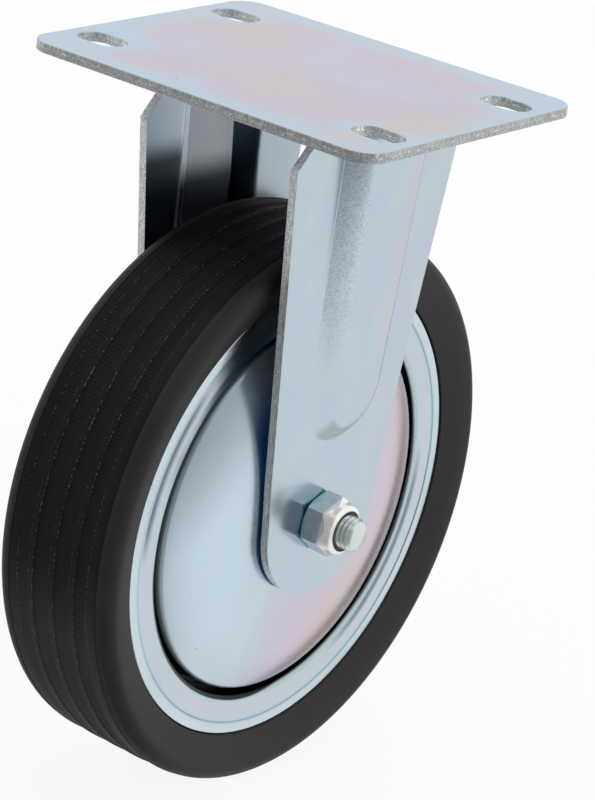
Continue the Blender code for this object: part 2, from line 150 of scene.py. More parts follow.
INSERT_RADIUS = 0.0072
INSERT_START_X = 0.0410
INSERT_END_X = 0.0427
INSERT_OUTER_ROUND = 0.0002
INSERT_BORE_ROUND = 0.0003

# Rim halves and discs
WHEEL_SHEET = 0.0016
RIM_RADIUS = 0.0836
RIM_REACH = 0.0198
RIM_STEP_RADIUS = 0.0792
RIM_SOFT_EDGE_RADIUS = 0.0742
RIM_LIP_REACH = 0.0189
RIM_LIP_ROUND = 0.00175
BARREL_RADIUS = 0.06975
DISC_RADIUS = 0.0673
DISC_REACH = 0.0269
DISC_FLAT_RADIUS = 0.028
DISC_EDGE_SLOPE = 22.4
DISC_EDGE_ROUND = 0.0020
CHANNEL_DEPTH = 0.011
CHANNEL_CUT = 0.0008
HUB_RADIUS = 0.017

# Tyre
TREAD_RADIUS = 0.0996
RIB_HALF_WIDTH = 0.0009
RIB_SPACING = 0.0091
RIB_SLOPE = 0.0003
KNURL_OUTER_X = 0.0153
KNURL_DEPTH = 0.00022
KNURL_COUNT = 480
KNURL_SLANT = 0.06
SHOULDER_EDGE_X = 0.0192
SHOULDER_EDGE_HEIGHT = 0.00022
SHOULDER_EDGE_WIDTH = 0.0003
SHOULDER_START = 84
SHOULDER_RADIUS = 0.0048
SIDE_LEAN = 0.0012
SIDE_DROP = 0.0034
SEAT_MARGIN = 0.0024
BEAD_REACH = 0.0206
BEAD_RADIUS = 0.0839

# Camera, fitted to the plate's edges and the wheel's circles
CAMERA_AIM = Vector((0.0030, 0.0171, -0.1204))
CAMERA_DISTANCE = 1.0201
CAMERA_AZIMUTH = math.radians(36.27)
CAMERA_ELEVATION = math.radians(21.39)
CAMERA_ROLL = math.radians(7.60)
CAMERA_LENS = 131.8


# Outlines


def share_between(value, low, high):
    """How far the value has come from low to high, held between 0 and 1."""
    return min(1, max(0, (value - low) / (high - low)))


def between(value, low, high, at_low, at_high):
    """The straight-line value between at_low and at_high, held level outside low and high."""
    return at_low + share_between(value, low, high) * (at_high - at_low)


def smooth_between(value, low, high):
    """A share from 0 at low to 1 at high, with a soft start and end."""
    share = share_between(value, low, high)
    return share * share * (3 - 2 * share)


def spread(start, end, steps):
    """Evenly spaced values from start to end, with both of them."""
    return [start + (end - start) * i / steps for i in range(steps + 1)]


def arc(centre, radius, start, end, steps):
    """Points on an arc, with angles in degrees."""
    angles = [math.radians(angle) for angle in spread(start, end, steps)]
    return [(centre[0] + radius * math.cos(a), centre[1] + radius * math.sin(a)) for a in angles]


def filleted(corners, segments=6):
    """The closed outline through the corners, each an (x, y, radius) that is rounded to its radius."""
    points = []
    for i, (x, y, radius) in enumerate(corners):
        here = Vector((x, y))
        if radius == 0:
            points.append((x, y))
            continue
        before = (Vector(corners[i - 1][:2]) - here).normalized()
        after = (Vector(corners[(i + 1) % len(corners)][:2]) - here).normalized()
        half = before.angle(after) / 2
        centre = here + (before + after).normalized() * radius / math.sin(half)
        start = here + before * radius / math.tan(half) - centre
        turn = start.angle_signed(here + after * radius / math.tan(half) - centre)
        for k in range(segments + 1):
            spoke = start.copy()
            spoke.rotate(Matrix.Rotation(-turn * k / segments, 2))
            points.append(tuple(centre + spoke))
    return points


def mirrored(profile):
    return [(-x, radius) for x, radius in profile]


# Pieces


def only(items, kind):
    """The items that are of that kind."""
    return [item for item in items if isinstance(item, kind)]


def wind(bm, profile, closed, angle, steps, forward=0.0, whole_way=False):
    """Winds the (x, radius) profile round the X axis, a little forward along it at each step."""
    points = [bm.verts.new((x, 0, radius)) for x, radius in profile]
    after = points[1:] + points[:1] if closed else points[1:]
    edges = [bm.edges.new(pair) for pair in zip(points, after)]
    bmesh.ops.spin(
        bm,
        geom=points + edges,
        cent=(0, 0, 0),
        axis=(1, 0, 0),
        dvec=(forward, 0, 0),
        angle=angle,
        steps=steps,
        use_merge=whole_way,
    )


def turned(profile, steps):
    """The (x, radius) profile turned round the axle: a wedge is spun, then doubled until it closes."""
    doublings = 0
    while steps % 2 == 0 and steps > WEDGE_STEPS:
        steps //= 2
        doublings += 1
    angle = math.tau / 2**doublings
    bm = bmesh.new()
    meets_axle = profile[0][1] == 0
    wind(bm, profile, not meets_axle, angle, steps, whole_way=doublings == 0)
    for _ in range(doublings):
        made = bmesh.ops.duplicate(bm, geom=bm.verts[:] + bm.edges[:] + bm.faces[:])
        copies = only(made["geom"], bmesh.types.BMVert)
        bmesh.ops.rotate(bm, verts=copies, cent=(0, 0, 0), matrix=Matrix.Rotation(angle, 3, "X"))
        angle *= 2
    bmesh.ops.remove_doubles(bm, verts=bm.verts, dist=SAME_PLACE)
    bmesh.ops.translate(bm, verts=bm.verts, vec=AXLE)
    return bm


def add_piece(name, bm, materials, smooth_angle=35):
    """An object with the shape of bm, its place in its mesh."""
    bmesh.ops.recalc_face_normals(bm, faces=bm.faces)
    mesh = bpy.data.meshes.new(name)
    bm.to_mesh(mesh)
    bm.free()
    for material in materials:
        mesh.materials.append(material)
    mesh.shade_smooth()
    mesh.set_sharp_from_angle(angle=math.radians(smooth_angle))
    piece = bpy.data.objects.new(name, mesh)
    bpy.context.scene.collection.objects.link(piece)
    return piece


def round_edges(piece, width, segments=2, angle=50):
    bevel = piece.modifiers.new("rounded edges", "BEVEL")
    bevel.width = width
    bevel.segments = segments
    bevel.limit_method = "ANGLE"
    bevel.angle_limit = math.radians(angle)
    weighted = piece.modifiers.new("flat faces stay flat", "WEIGHTED_NORMAL")
    weighted.keep_sharp = True


def combine(piece, operation, bm):
    """A Boolean of the piece with the shape of bm."""
    tool = add_piece(piece.name + "_tool", bm, [])
    boolean = piece.modifiers.new(operation.lower(), "BOOLEAN")
    boolean.operation = operation
    boolean.solver = "EXACT"
    boolean.object = tool
    return tool


def settle(piece, *tools):
    """Makes the Booleans part of the mesh, merges the slivers that they leave and removes the tools."""
    graph = bpy.context.evaluated_depsgraph_get()
    mesh = bpy.data.meshes.new_from_object(piece.evaluated_get(graph))
    bm = bmesh.new()
    bm.from_mesh(mesh)
    bmesh.ops.remove_doubles(bm, verts=bm.verts, dist=SLIVER)
    bmesh.ops.dissolve_degenerate(bm, edges=bm.edges, dist=SHORTEST_EDGE)
    bm.to_mesh(mesh)
    bm.free()
    piece.modifiers.clear()
    piece.data = mesh
    for tool in tools:
        bpy.data.objects.remove(tool)


def place(piece, body, slot, *nodes):
    """The piece moves with the body and stands for the nodes, which are hidden; the slot, the record's
    finish, is not used.
    """
    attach(piece, body)
    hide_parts(*nodes)


# Top plate


def plate_outline():
    half_x = PLATE_LENGTH / 2
    half_y = PLATE_WIDTH / 2
    corners = ((half_x, half_y), (-half_x, half_y), (-half_x, -half_y), (half_x, -half_y))
    return filleted([(x, y, PLATE_CORNER_RADIUS) for x, y in corners], 12)


def slot_outline(x, y):
    radius = SLOT_WIDTH / 2
    reach = SLOT_LENGTH / 2 - radius
    return arc((x + reach, y), radius, -90, 90, 16) + arc((x - reach, y), radius, 90, 270, 16)


def make_top_plate(zinc, sheared, punched):
    bm = bmesh.new()
    outlines = [plate_outline()]
    outlines += [slot_outline(x * SLOT_X, y * SLOT_Y) for x in (-1, 1) for y in (-1, 1)]
    edges = []
    for outline in outlines:
        points = [bm.verts.new((x, y, 0)) for x, y in outline]
        edges += [bm.edges.new(pair) for pair in zip(points, points[1:] + points[:1])]
    bmesh.ops.triangle_fill(bm, use_beauty=True, edges=edges, normal=(0, 0, 1))
    through = bm.verts.layers.float.new("through_sheet")
    made = bmesh.ops.extrude_face_region(bm, geom=bm.faces[:])
    lower = only(made["geom"], bmesh.types.BMVert)
    bmesh.ops.translate(bm, verts=lower, vec=(0, 0, -PLATE_THICKNESS))
    for vert in bm.verts:
        vert[through] = 1 if vert.co.z < -PLATE_THICKNESS / 2 else 0
    bm.normal_update()
    edge_zone = 0.002
    corner_zone = 0.008
    corner = math.hypot(PLATE_LENGTH, PLATE_WIDTH) / 2
    for face in bm.faces:
        if abs(face.normal.z) > 0.5:
            continue
        middle = face.calc_center_median()
        past_edge = max(abs(middle.x) - PLATE_LENGTH / 2, abs(middle.y) - PLATE_WIDTH / 2)
        near_corner = math.hypot(middle.x, middle.y) > corner - corner_zone
        face.material_index = 1 if past_edge > -edge_zone or near_corner else 2
    plate = add_piece("plate", bm, [zinc, sheared, punched])
    round_edges(plate, SHEARED_EDGE_ROUND, 3)
    place(plate, "bracket", "zinc_plated_steel", "top_plate")


# Fork


def leg_outer_x(height):
    return between(height, LEG_FLAT_ABOVE_AXLE, BEND_CENTRE, LEG_OUTER_X, LEG_TOP_X)


def leg_half_width(height):
    half = LEG_SHOULDER_WIDTH / 2
    if height > LEG_SHOULDER:
        return between(height, LEG_SHOULDER, WEB_TOP, half, FORK_WEB_WIDTH / 2)
    return between(height, LEG_END_CENTRE, LEG_SHOULDER, LEG_END_RADIUS, half)


def leg_set_back(height):
    """How far the middle of the leg lies behind the axle, which grows towards its shoulder."""
    return between(height, LEG_END_CENTRE, LEG_SHOULDER, LEG_SET_BACK_LOW, LEG_SET_BACK_HIGH)


def pressing_depth(y, height, inside):
    """How far a point lies in from the pressing's foot, and how wide its wall is there."""
    below = max(0, PRESSING_END_CENTRE - height)
    turn = abs(math.atan2(y, below)) / (math.pi / 2) if below else 1
    half = PRESSING_HALF
    if inside:
        half += ((RECESS_FRONT_HALF if y < 0 else RECESS_BACK_HALF) - half) * turn
        side = RECESS_WALL
    elif y < 0:
        side = between(height, PRESSING_END_CENTRE, BEND_CENTRE, FRONT_LOW_WALL, FRONT_WALL)
    else:
        side = BACK_WALL
    return half - math.hypot(y, below), END_WALL + (side - END_WALL) * turn


def pressing_rise(y, height, inside):
    """How far the pressing stands out: crisp at its front foot, soft at its end, a crisp floor inside."""
    depth, wall = pressing_depth(y, height, inside)
    share = min(1, max(0, depth / wall))
    rise = between(height, PRESSING_END_CENTRE, BEND_CENTRE, PRESSING_LOW_HEIGHT, PRESSING_HEIGHT)
    soft = smooth_between(depth, 0, wall)
    bend = FLOOR_BEND
    straight = (share * share / 2 / bend if share < bend else share - bend / 2) / (1 - bend / 2)
    crisp = straight if inside else 1 - (1 - share) ** FOOT_CRISPNESS
    upper = smooth_between(height, CRISP_FROM, CRISP_FULL) * (1 if y < 0 or inside else 0)
    return rise * (soft + (crisp - soft) * upper)


def stretched_rise(y, height, inside):
    """The pressing's rise, where the inner face always leaves some sheet under the outer one."""
    outer = pressing_rise(y, height, False)
    if not inside:
        return outer
    return min(pressing_rise(y, height, True), outer + FORK_SHEET - STRETCHED_SHEET)


def fork_stations():
    """The rows of the fork's grid from the middle of the web to the leg's end, as (kind, value)."""
    rows = [("web", x) for x in spread(0, LEG_TOP_X - FORK_BEND_RADIUS, 8)[:-1]]
    rows += [("bend", angle) for angle in spread(90, 0, 12)]
    top = BEND_CENTRE
    for low, steps in ((LEG_SHOULDER, 4), (WALLS_LOW, 50), (PRESSING_BOTTOM, 36), (LEG_END_CENTRE, 10)):
        rows += [("leg", height) for height in spread(top, low, steps)[1:]]
        top = low
    rows += [("end", share) for share in spread(0, 1, 12)[1:]]
    return rows


def fork_columns():
    """Places across the leg, as (y within the pressing, share of the flange outside it)."""
    flat = spread(0, PRESSING_FLAT_HALF, 5)[:-1]
    wall = [PRESSING_FLAT_HALF + y for y in spread(0, PRESSING_WALL_REACH, 34)]
    right = [(y, 0) for y in flat + wall] + [(wall[-1], share) for share in spread(0, 1, 7)[1:]]
    return [(-y, -flange) for y, flange in right[:0:-1]] + right


def across(column, height, half_width):
    """The y of a column on the leg, and its place within the pressing, at that height and width."""
    y, flange = column
    middle = between(height, 0, PRESSING_END_CENTRE, LEG_SET_BACK_LOW, PRESSING_MIDDLE)
    edge = leg_set_back(height) + math.copysign(half_width, y)
    return middle + y + abs(flange) * (edge - middle - y), y


def fork_point(station, column, inside):
    """(place, y within the pressing, height) of a grid point on the fork's outer or inner face."""
    kind, value = station
    thickness = FORK_SHEET if inside else 0
    if kind == "web":
        y, within = across(column, WEB_TOP, FORK_WEB_WIDTH / 2)
        return Vector((value, y, WEB_TOP - thickness)), within, WEB_TOP
    if kind == "bend":
        angle = math.radians(value)
        outward = Vector((math.cos(angle), 0, math.sin(angle)))
        height = BEND_CENTRE + FORK_BEND_RADIUS * math.sin(angle)
        y, within = across(column, height, leg_half_width(height))
        fade = 1 - smooth_between(value, 0, PRESSING_FADE)
        rise = stretched_rise(within, BEND_CENTRE, inside) * fade
        centre = Vector((LEG_TOP_X - FORK_BEND_RADIUS, y, BEND_CENTRE))
        return centre + outward * (FORK_BEND_RADIUS - thickness + rise), within, height
    if kind == "leg":
        y, within = across(column, value, leg_half_width(value))
        x = leg_outer_x(value) - thickness + stretched_rise(within, value, inside)
        return Vector((x, y, value)), within, value
    edge = math.radians(90 - LEG_END_SIDE_ARC * value)
    bow = math.radians((90 - LEG_END_SIDE_ARC) * value)
    chord = LEG_END_RADIUS * math.sin(edge)
    y, within = across(column, 0, LEG_END_RADIUS)
    share = (y - LEG_SET_BACK_LOW) / LEG_END_RADIUS
    radius = chord / math.sin(bow)
    y = radius * math.sin(share * bow) + LEG_SET_BACK_LOW
    drop = LEG_END_RADIUS * math.cos(edge) + radius * (math.cos(share * bow) - math.cos(bow))
    height = LEG_END_CENTRE - drop
    return Vector((LEG_OUTER_X - thickness, y, height)), within, height


def pressing_masks(y, height):
    """How much of the front wall, the crest's line, the tint behind it and the low end a point has; the
    crest's line and the low end carry painted shade.
    """
    foot_start, foot_full = -0.0002, 0.0004
    crest_start, crest_end = 0.0004, 0.0016
    wall_start, wall_full = 0.050, 0.092
    tint_start, tint_full = 0.045, 0.080
    end_start, end_full = 0.006, 0.012
    front_to_back = 0.3
    end_turn, end_near, end_far = 0.05, 0.45, 0.85
    depth, wall = pressing_depth(y, height, False)
    foot_to_crest = smooth_between(depth, foot_start, foot_full)
    foot_to_crest *= 1 - smooth_between(depth, wall - crest_start, wall + crest_end)
    turn = math.atan2(y, max(0, PRESSING_END_CENTRE - height))
    behind = smooth_between(turn, -front_to_back, front_to_back)
    tint = behind * (1 - smooth_between(depth, wall, wall + CREST_TINT)) * (depth > wall)
    low = 1 - smooth_between(height, PRESSING_END_CENTRE - end_full, PRESSING_END_CENTRE - end_start)
    beside = 1 - smooth_between(abs(turn - end_turn), end_near, end_far)
    return {
        "pressed_wall": foot_to_crest * (1 if y < 0 else 0) * smooth_between(height, wall_start, wall_full),
        "pressed_line": behind * max(0, 1 - abs(depth - wall) / CREST_LINE),
        "pressed_tint": tint * smooth_between(height, tint_start, tint_full),
        "pressed_end": foot_to_crest * low * beside,
    }


def fork_grid():
    """Half the fork's sheet as a closed mesh that is open in the middle of the web."""
    stations = fork_stations()
    columns = fork_columns()
    bm = bmesh.new()
    across_cells = len(columns) - 1
    along_cells = len(stations) - 1
    bmesh.ops.create_grid(bm, x_segments=across_cells, y_segments=along_cells, size=0.5)
    column_of = bm.verts.layers.int.new("column")
    station_of = bm.verts.layers.int.new("station")
    through = bm.verts.layers.float.new("through_sheet")
    masks = {name: bm.verts.layers.float.new(name) for name in PRESSED_MASKS}
    for vert in bm.verts:
        vert[column_of] = round((vert.co.x + 0.5) * across_cells)
        vert[station_of] = round((vert.co.y + 0.5) * along_cells)
    made = bmesh.ops.extrude_face_region(bm, geom=bm.faces[:], use_keep_orig=True)
    for vert in only(made["geom"], bmesh.types.BMVert):
        vert[through] = 1
    for vert in bm.verts:
        station = stations[vert[station_of]]
        inside = vert[through] == 1
        vert.co, y, height = fork_point(station, columns[vert[column_of]], inside)
        if inside or height > BEND_CENTRE + FORK_BEND_RADIUS / 2:
            continue
        for name, share in pressing_masks(y, height).items():
            vert[masks[name]] = share
    return bm


def make_fork(zinc, sheared):
    bm = fork_grid()
    middle = [f for f in bm.faces if all(abs(v.co.x) < SAME_PLACE for v in f.verts)]
    bmesh.ops.delete(bm, geom=middle, context="FACES")
    bmesh.ops.recalc_face_normals(bm, faces=bm.faces)
    columns = len(fork_columns()) - 1
    stations = len(fork_stations()) - 1
    column_of = bm.verts.layers.int["column"]
    station_of = bm.verts.layers.int["station"]
    for face in bm.faces:
        on_side = all(v[column_of] in (0, columns) for v in face.verts)
        on_end = all(v[station_of] == stations for v in face.verts)
        face.material_index = 1 if on_side or on_end else 0
    bmesh.ops.mirror(bm, geom=bm.verts[:] + bm.edges[:] + bm.faces[:], axis="X", merge_dist=SAME_PLACE)
    bmesh.ops.translate(bm, verts=bm.verts, vec=AXLE)
    sharp = 75
    fork = add_piece("pressed_fork", bm, [zinc, sheared], sharp)
    hole = BOLT_RADIUS + SEAT_GAP
    drill = [(-LEG_TOP_X, 0), (LEG_TOP_X, 0), (LEG_TOP_X, hole), (-LEG_TOP_X, hole)]
    tool = combine(fork, "DIFFERENCE", turned(drill, 48))
    settle(fork, tool)
    round_edges(fork, SHEARED_EDGE_ROUND, 2, sharp)
    place(fork, "bracket", "zinc_plated_steel", "fork")


# Axle bolt and lock nut


def hexagon(start, end, across_flats, turn):
    """A hexagon bar along the axle, with a corner at the angle turn from +Y."""
    bm = bmesh.new()
    radius = across_flats / math.sqrt(3)
    bmesh.ops.create_cone(
        bm, cap_ends=True, segments=6, radius1=radius, radius2=radius, depth=end - start
    )
    bmesh.ops.rotate(bm, verts=bm.verts, matrix=Matrix.Rotation(turn, 3, "Z"))
    bmesh.ops.rotate(bm, verts=bm.verts, matrix=Matrix.Rotation(math.pi / 2, 3, "Y"))
    bmesh.ops.translate(bm, verts=bm.verts, vec=AXLE + Vector(((start + end) / 2, 0, 0)))
    return bm


def threaded_bar(start, end):
    """A bar along the axle with a thread, made by winding one turn of its outline along the axle."""
    bm = bmesh.new()
    crest = BOLT_RADIUS
    root = BOLT_RADIUS - THREAD_DEPTH
    one_turn = ((0, root), (0.36, crest), (0.50, crest), (0.86, root))
    spare_turns = 3
    outline = []
    for i in range(math.ceil((end - start) / THREAD_PITCH) + spare_turns):
        x = start + (i - 2) * THREAD_PITCH
        outline += [(x + along * THREAD_PITCH, radius) for along, radius in one_turn]
    steps = 48
    wind(bm, outline, False, math.tau, steps, THREAD_PITCH / steps)
    bmesh.ops.remove_doubles(bm, verts=bm.verts, dist=SAME_PLACE)
    for x, side in ((start, -1), (end, 1)):
        geometry = bm.verts[:] + bm.edges[:] + bm.faces[:]
        cut = bmesh.ops.bisect_plane(
            bm, geom=geometry, plane_co=(x, 0, 0), plane_no=(side, 0, 0), clear_outer=True
        )
        bmesh.ops.holes_fill(bm, edges=only(cut["geom_cut"], bmesh.types.BMEdge), sides=0)
    for vert in bm.verts:
        radius = math.hypot(vert.co.y, vert.co.z)
        allowed = BOLT_END_RADIUS + max(0, end - vert.co.x)
        if radius > allowed:
            vert.co.y *= allowed / radius
            vert.co.z *= allowed / radius
    bmesh.ops.translate(bm, verts=bm.verts, vec=AXLE)
    return bm


def make_bolt(bright):
    thread = add_piece("bolt_thread", threaded_bar(THREAD_START, BOLT_END_X), [bright], 50)
    place(thread, "bracket", "bright_zinc", "axle_bolt")
    overlap = 0.001
    start = HEAD_INNER_X - overlap
    end = THREAD_START + overlap
    radius = BOLT_RADIUS - THREAD_DEPTH / 2
    bar = turned([(start, 0), (end, 0), (end, radius), (start, radius)], 48)
    shank = add_piece("bolt_shank", bar, [bright])
    place(shank, "bracket", "bright_zinc", "axle_bolt")
    outer = HEAD_INNER_X - HEAD_HEIGHT
    seat = HEAD_INNER_X - HEAD_WASHER
    corner = HEAD_ACROSS_FLATS / math.sqrt(3)
    face = HEAD_ACROSS_FLATS / 2 * HEAD_FACE_SHARE
    chamfer = (corner - face) * math.tan(HEAD_CHAMFER)
    round_part = [(outer, 0), (outer, face), (outer + chamfer, corner + HAIR), (seat, corner + HAIR)]
    round_part += [(seat, face), (HEAD_INNER_X, face), (HEAD_INNER_X, 0)]
    bar = hexagon(outer - overlap, HEAD_INNER_X + overlap, HEAD_ACROSS_FLATS, 0)
    head = add_piece("bolt_head", bar, [bright])
    tool = combine(head, "INTERSECT", turned(round_part, 96))
    settle(head, tool)
    round_edges(head, HEAD_EDGE_ROUND, 3, 25)
    place(head, "bracket", "bright_zinc", "axle_bolt")


def make_nut(bright, nylon):
    corner = NUT_ACROSS_FLATS / math.sqrt(3) + HAIR
    outside = [
        (NUT_START_X, 0, 0),
        (NUT_START_X, NUT_FACE_RADIUS, 0),
        (NUT_START_X + NUT_CHAMFER, corner, 0),
        (NUT_CONE_START_X, corner, 0),
        (NUT_CONE_END_X, NUT_FACE_RADIUS, NUT_NECK_ROUND),
        (NUT_END_X - COLLAR_END_WIDTH, COLLAR_RADIUS, COLLAR_ROUND),
        (NUT_END_X, COLLAR_END_RADIUS, COLLAR_EDGE_ROUND),
        (NUT_END_X, 0, 0),
    ]
    overlap = 0.001
    bar = hexagon(NUT_START_X - overlap, NUT_END_X + overlap, NUT_ACROSS_FLATS, NUT_TURN)
    nut = add_piece("nut", bar, [bright])
    envelope = combine(nut, "INTERSECT", turned(filleted(outside, 8), 96))
    beyond = 0.004
    bore = BOLT_RADIUS + SEAT_GAP / 2
    seat = INSERT_RADIUS + HAIR
    hollow = [(NUT_START_X - beyond, 0), (NUT_START_X - beyond, bore), (INSERT_START_X - HAIR, bore)]
    hollow += [(INSERT_START_X - HAIR, seat), (NUT_END_X + beyond, seat), (NUT_END_X + beyond, 0)]
    bored = combine(nut, "DIFFERENCE", turned(hollow, 96))
    settle(nut, envelope, bored)
    round_edges(nut, NUT_EDGE_ROUND, 3, 25)
    place(nut, "bracket", "bright_zinc", "lock_nut")
    ring = [(INSERT_START_X, BOLT_RADIUS, 0), (INSERT_START_X, INSERT_RADIUS, 0)]
    ring += [(INSERT_END_X, INSERT_RADIUS, INSERT_OUTER_ROUND)]
    ring += [(INSERT_END_X, BOLT_RADIUS, INSERT_BORE_ROUND)]
    insert = add_piece("nylon_ring", turned(filleted(ring), 96), [nylon])
    place(insert, "bracket", "black_nylon", "nut_insert")


# Rim halves and discs


def rim_profile():
    """A rim half: a flange with a small step, a soft edge and a rolled lip, then the barrel."""
    flange_back_round, flange_round = 0.0004, 0.0006
    step_start, step_end, step_half = 0.00005, 0.00035, 0.00015
    step_round, step_foot_round = 0.0001, 0.00015
    soft_edge_fall, soft_edge_round = 0.0005, 0.0060
    barrel_round = 0.0002
    outer_barrel = BARREL_RADIUS + WHEEL_SHEET
    corners = [
        (RIM_REACH - WHEEL_SHEET, RIM_RADIUS, flange_back_round),
        (RIM_REACH, RIM_RADIUS, flange_round),
        (RIM_REACH - step_start, RIM_STEP_RADIUS + step_half, step_round),
        (RIM_REACH - step_end, RIM_STEP_RADIUS - step_half, step_foot_round),
        (RIM_REACH - soft_edge_fall, RIM_SOFT_EDGE_RADIUS, soft_edge_round),
        (RIM_LIP_REACH, BARREL_RADIUS, RIM_LIP_ROUND),
        (SEAT_GAP / 2, BARREL_RADIUS, 0),
        (SEAT_GAP / 2, outer_barrel, 0),
        (RIM_LIP_REACH - WHEEL_SHEET + HAIR, outer_barrel, barrel_round),
    ]
    return filleted(corners, 8)


def disc_profile():
    """A wheel disc: a shallow dome whose rounded edge turns in and meets the barrel."""
    slope = math.radians(DISC_EDGE_SLOPE)
    turn = DISC_RADIUS - DISC_EDGE_ROUND
    dome_end = turn + DISC_EDGE_ROUND * math.sin(slope)
    rate = math.tan(slope) / 2 / (dome_end - DISC_FLAT_RADIUS)
    radii = spread(DISC_FLAT_RADIUS, dome_end, 24)[:-1]
    dome = [(DISC_REACH - rate * (radius - DISC_FLAT_RADIUS) ** 2, radius) for radius in radii]
    end_x = DISC_REACH - rate * (dome_end - DISC_FLAT_RADIUS) ** 2
    turn_x = end_x - DISC_EDGE_ROUND * math.cos(slope)
    floor = turn_x - CHANNEL_DEPTH
    hub = HUB_RADIUS + SEAT_GAP
    barrel = BARREL_RADIUS - SEAT_GAP
    outer = [(DISC_REACH, hub)] + dome
    outer += arc((turn_x, turn), DISC_EDGE_ROUND, DISC_EDGE_SLOPE, 90, 10)
    outer += [(floor + CHANNEL_CUT, DISC_RADIUS), (floor, DISC_RADIUS + CHANNEL_CUT), (floor, barrel)]
    inner = [(floor - WHEEL_SHEET, barrel), (floor - WHEEL_SHEET, DISC_RADIUS - WHEEL_SHEET)]
    inner += arc((turn_x, turn), DISC_EDGE_ROUND - WHEEL_SHEET, 90, DISC_EDGE_SLOPE, 4)
    inner += [(x - WHEEL_SHEET, radius) for x, radius in dome[::-4]]
    inner += [(DISC_REACH - WHEEL_SHEET, hub)]
    return outer + inner


def make_rims_and_discs(rim_zinc, disc_zinc):
    for side, mirror in (("right", list), ("left", mirrored)):
        rim = add_piece("rim_flange_" + side, turned(mirror(rim_profile()), 256), [rim_zinc])
        place(rim, "wheel", "wheel_zinc", "rim_" + side)
        disc = add_piece("dished_disc_" + side, turned(mirror(disc_profile()), 256), [disc_zinc])
        place(disc, "wheel", "wheel_zinc", "disc_" + side)


# Tyre


def tread_half():
    """The tread's right half from its middle to the shoulder edge, as (x, radius)."""
    margin = 0.0002
    path = []
    for middle in (0, RIB_SPACING):
        inner = middle - RIB_HALF_WIDTH
        outer = middle + RIB_HALF_WIDTH
        if middle:
            path += [(inner - RIB_SLOPE, TREAD_RADIUS), (inner, WHEEL_RADIUS)]
        path += [(outer, WHEEL_RADIUS), (outer + RIB_SLOPE, TREAD_RADIUS)]
        band_end = RIB_SPACING - RIB_HALF_WIDTH - RIB_SLOPE if middle == 0 else KNURL_OUTER_X
        path += [(x, TREAD_RADIUS) for x in spread(outer + RIB_SLOPE + margin, band_end - margin, 3)]
    path += [(KNURL_OUTER_X + HAIR, TREAD_RADIUS), (SHOULDER_EDGE_X - margin, TREAD_RADIUS)]
    return path


def tyre_profile():
    """The tyre's outline: the tread, a raised edge, the shoulder, the side and the bead in the rim."""
    half = WHEEL_WIDTH / 2
    centre = (half - SHOULDER_RADIUS, TREAD_RADIUS - SHOULDER_RADIUS)
    path = tread_half()
    path += [(SHOULDER_EDGE_X, TREAD_RADIUS + SHOULDER_EDGE_HEIGHT)]
    path += [(SHOULDER_EDGE_X + SHOULDER_EDGE_WIDTH, TREAD_RADIUS - HAIR)]
    path += arc(centre, SHOULDER_RADIUS, SHOULDER_START, 0, 8)
    path += [(half - SIDE_LEAN, TREAD_RADIUS - SHOULDER_RADIUS - SIDE_DROP)]
    bead_bend = ((0.0012, 0.0030), (0, 0.0008), (-0.0002, 0.0002), (-0.0006, 0))
    for out, up in bead_bend:
        path += [(BEAD_REACH + out, BEAD_RADIUS + up)]
    seat = BARREL_RADIUS + WHEEL_SHEET + SEAT_GAP
    path += [(RIM_REACH - WHEEL_SHEET - SEAT_GAP, BEAD_RADIUS), (RIM_LIP_REACH - SEAT_MARGIN, seat)]
    return path + mirrored(path)[::-1]


def in_knurl(x):
    """Whether a place across the tread lies in one of the knurled bands."""
    reach = abs(x)
    rib = RIB_HALF_WIDTH + RIB_SLOPE + HAIR
    clear_of_ribs = reach > rib and abs(reach - RIB_SPACING) > rib
    return clear_of_ribs and reach < KNURL_OUTER_X - HAIR


def spoke_to(vert):
    """From the axle's line to the point."""
    return Vector((0, vert.co.y, vert.co.z - AXLE_Z))


def move_to(vert, spoke):
    """Puts the point at the spoke's end, as far along the axle as it was."""
    vert.co = Vector((vert.co.x, spoke.y, spoke.z + AXLE_Z))


def make_tyre(tread_rubber, side_rubber):
    samples = 3
    count = KNURL_COUNT * samples
    bm = turned(tyre_profile(), count)
    for vert in bm.verts:
        spoke = spoke_to(vert)
        radius = spoke.length
        if radius < TREAD_RADIUS - HAIR or not in_knurl(vert.co.x):
            continue
        step = round(math.atan2(spoke.z, spoke.y) / math.tau * count)
        if step % samples == 0:
            move_to(vert, spoke * (1 - KNURL_DEPTH / radius))
    for vert in bm.verts:
        spoke = spoke_to(vert)
        spoke.rotate(Matrix.Rotation(vert.co.x * KNURL_SLANT / TREAD_RADIUS, 3, "X"))
        move_to(vert, spoke)
    bm.normal_update()
    for face in bm.faces:
        middle = face.calc_center_median()
        face.material_index = 1 if abs(middle.x) > SHOULDER_EDGE_X + SHOULDER_EDGE_WIDTH else 0
    tyre = add_piece("rubber_tyre", bm, [tread_rubber, side_rubber], 30)
    place(tyre, "wheel", "black_rubber", "tyre")


# Materials


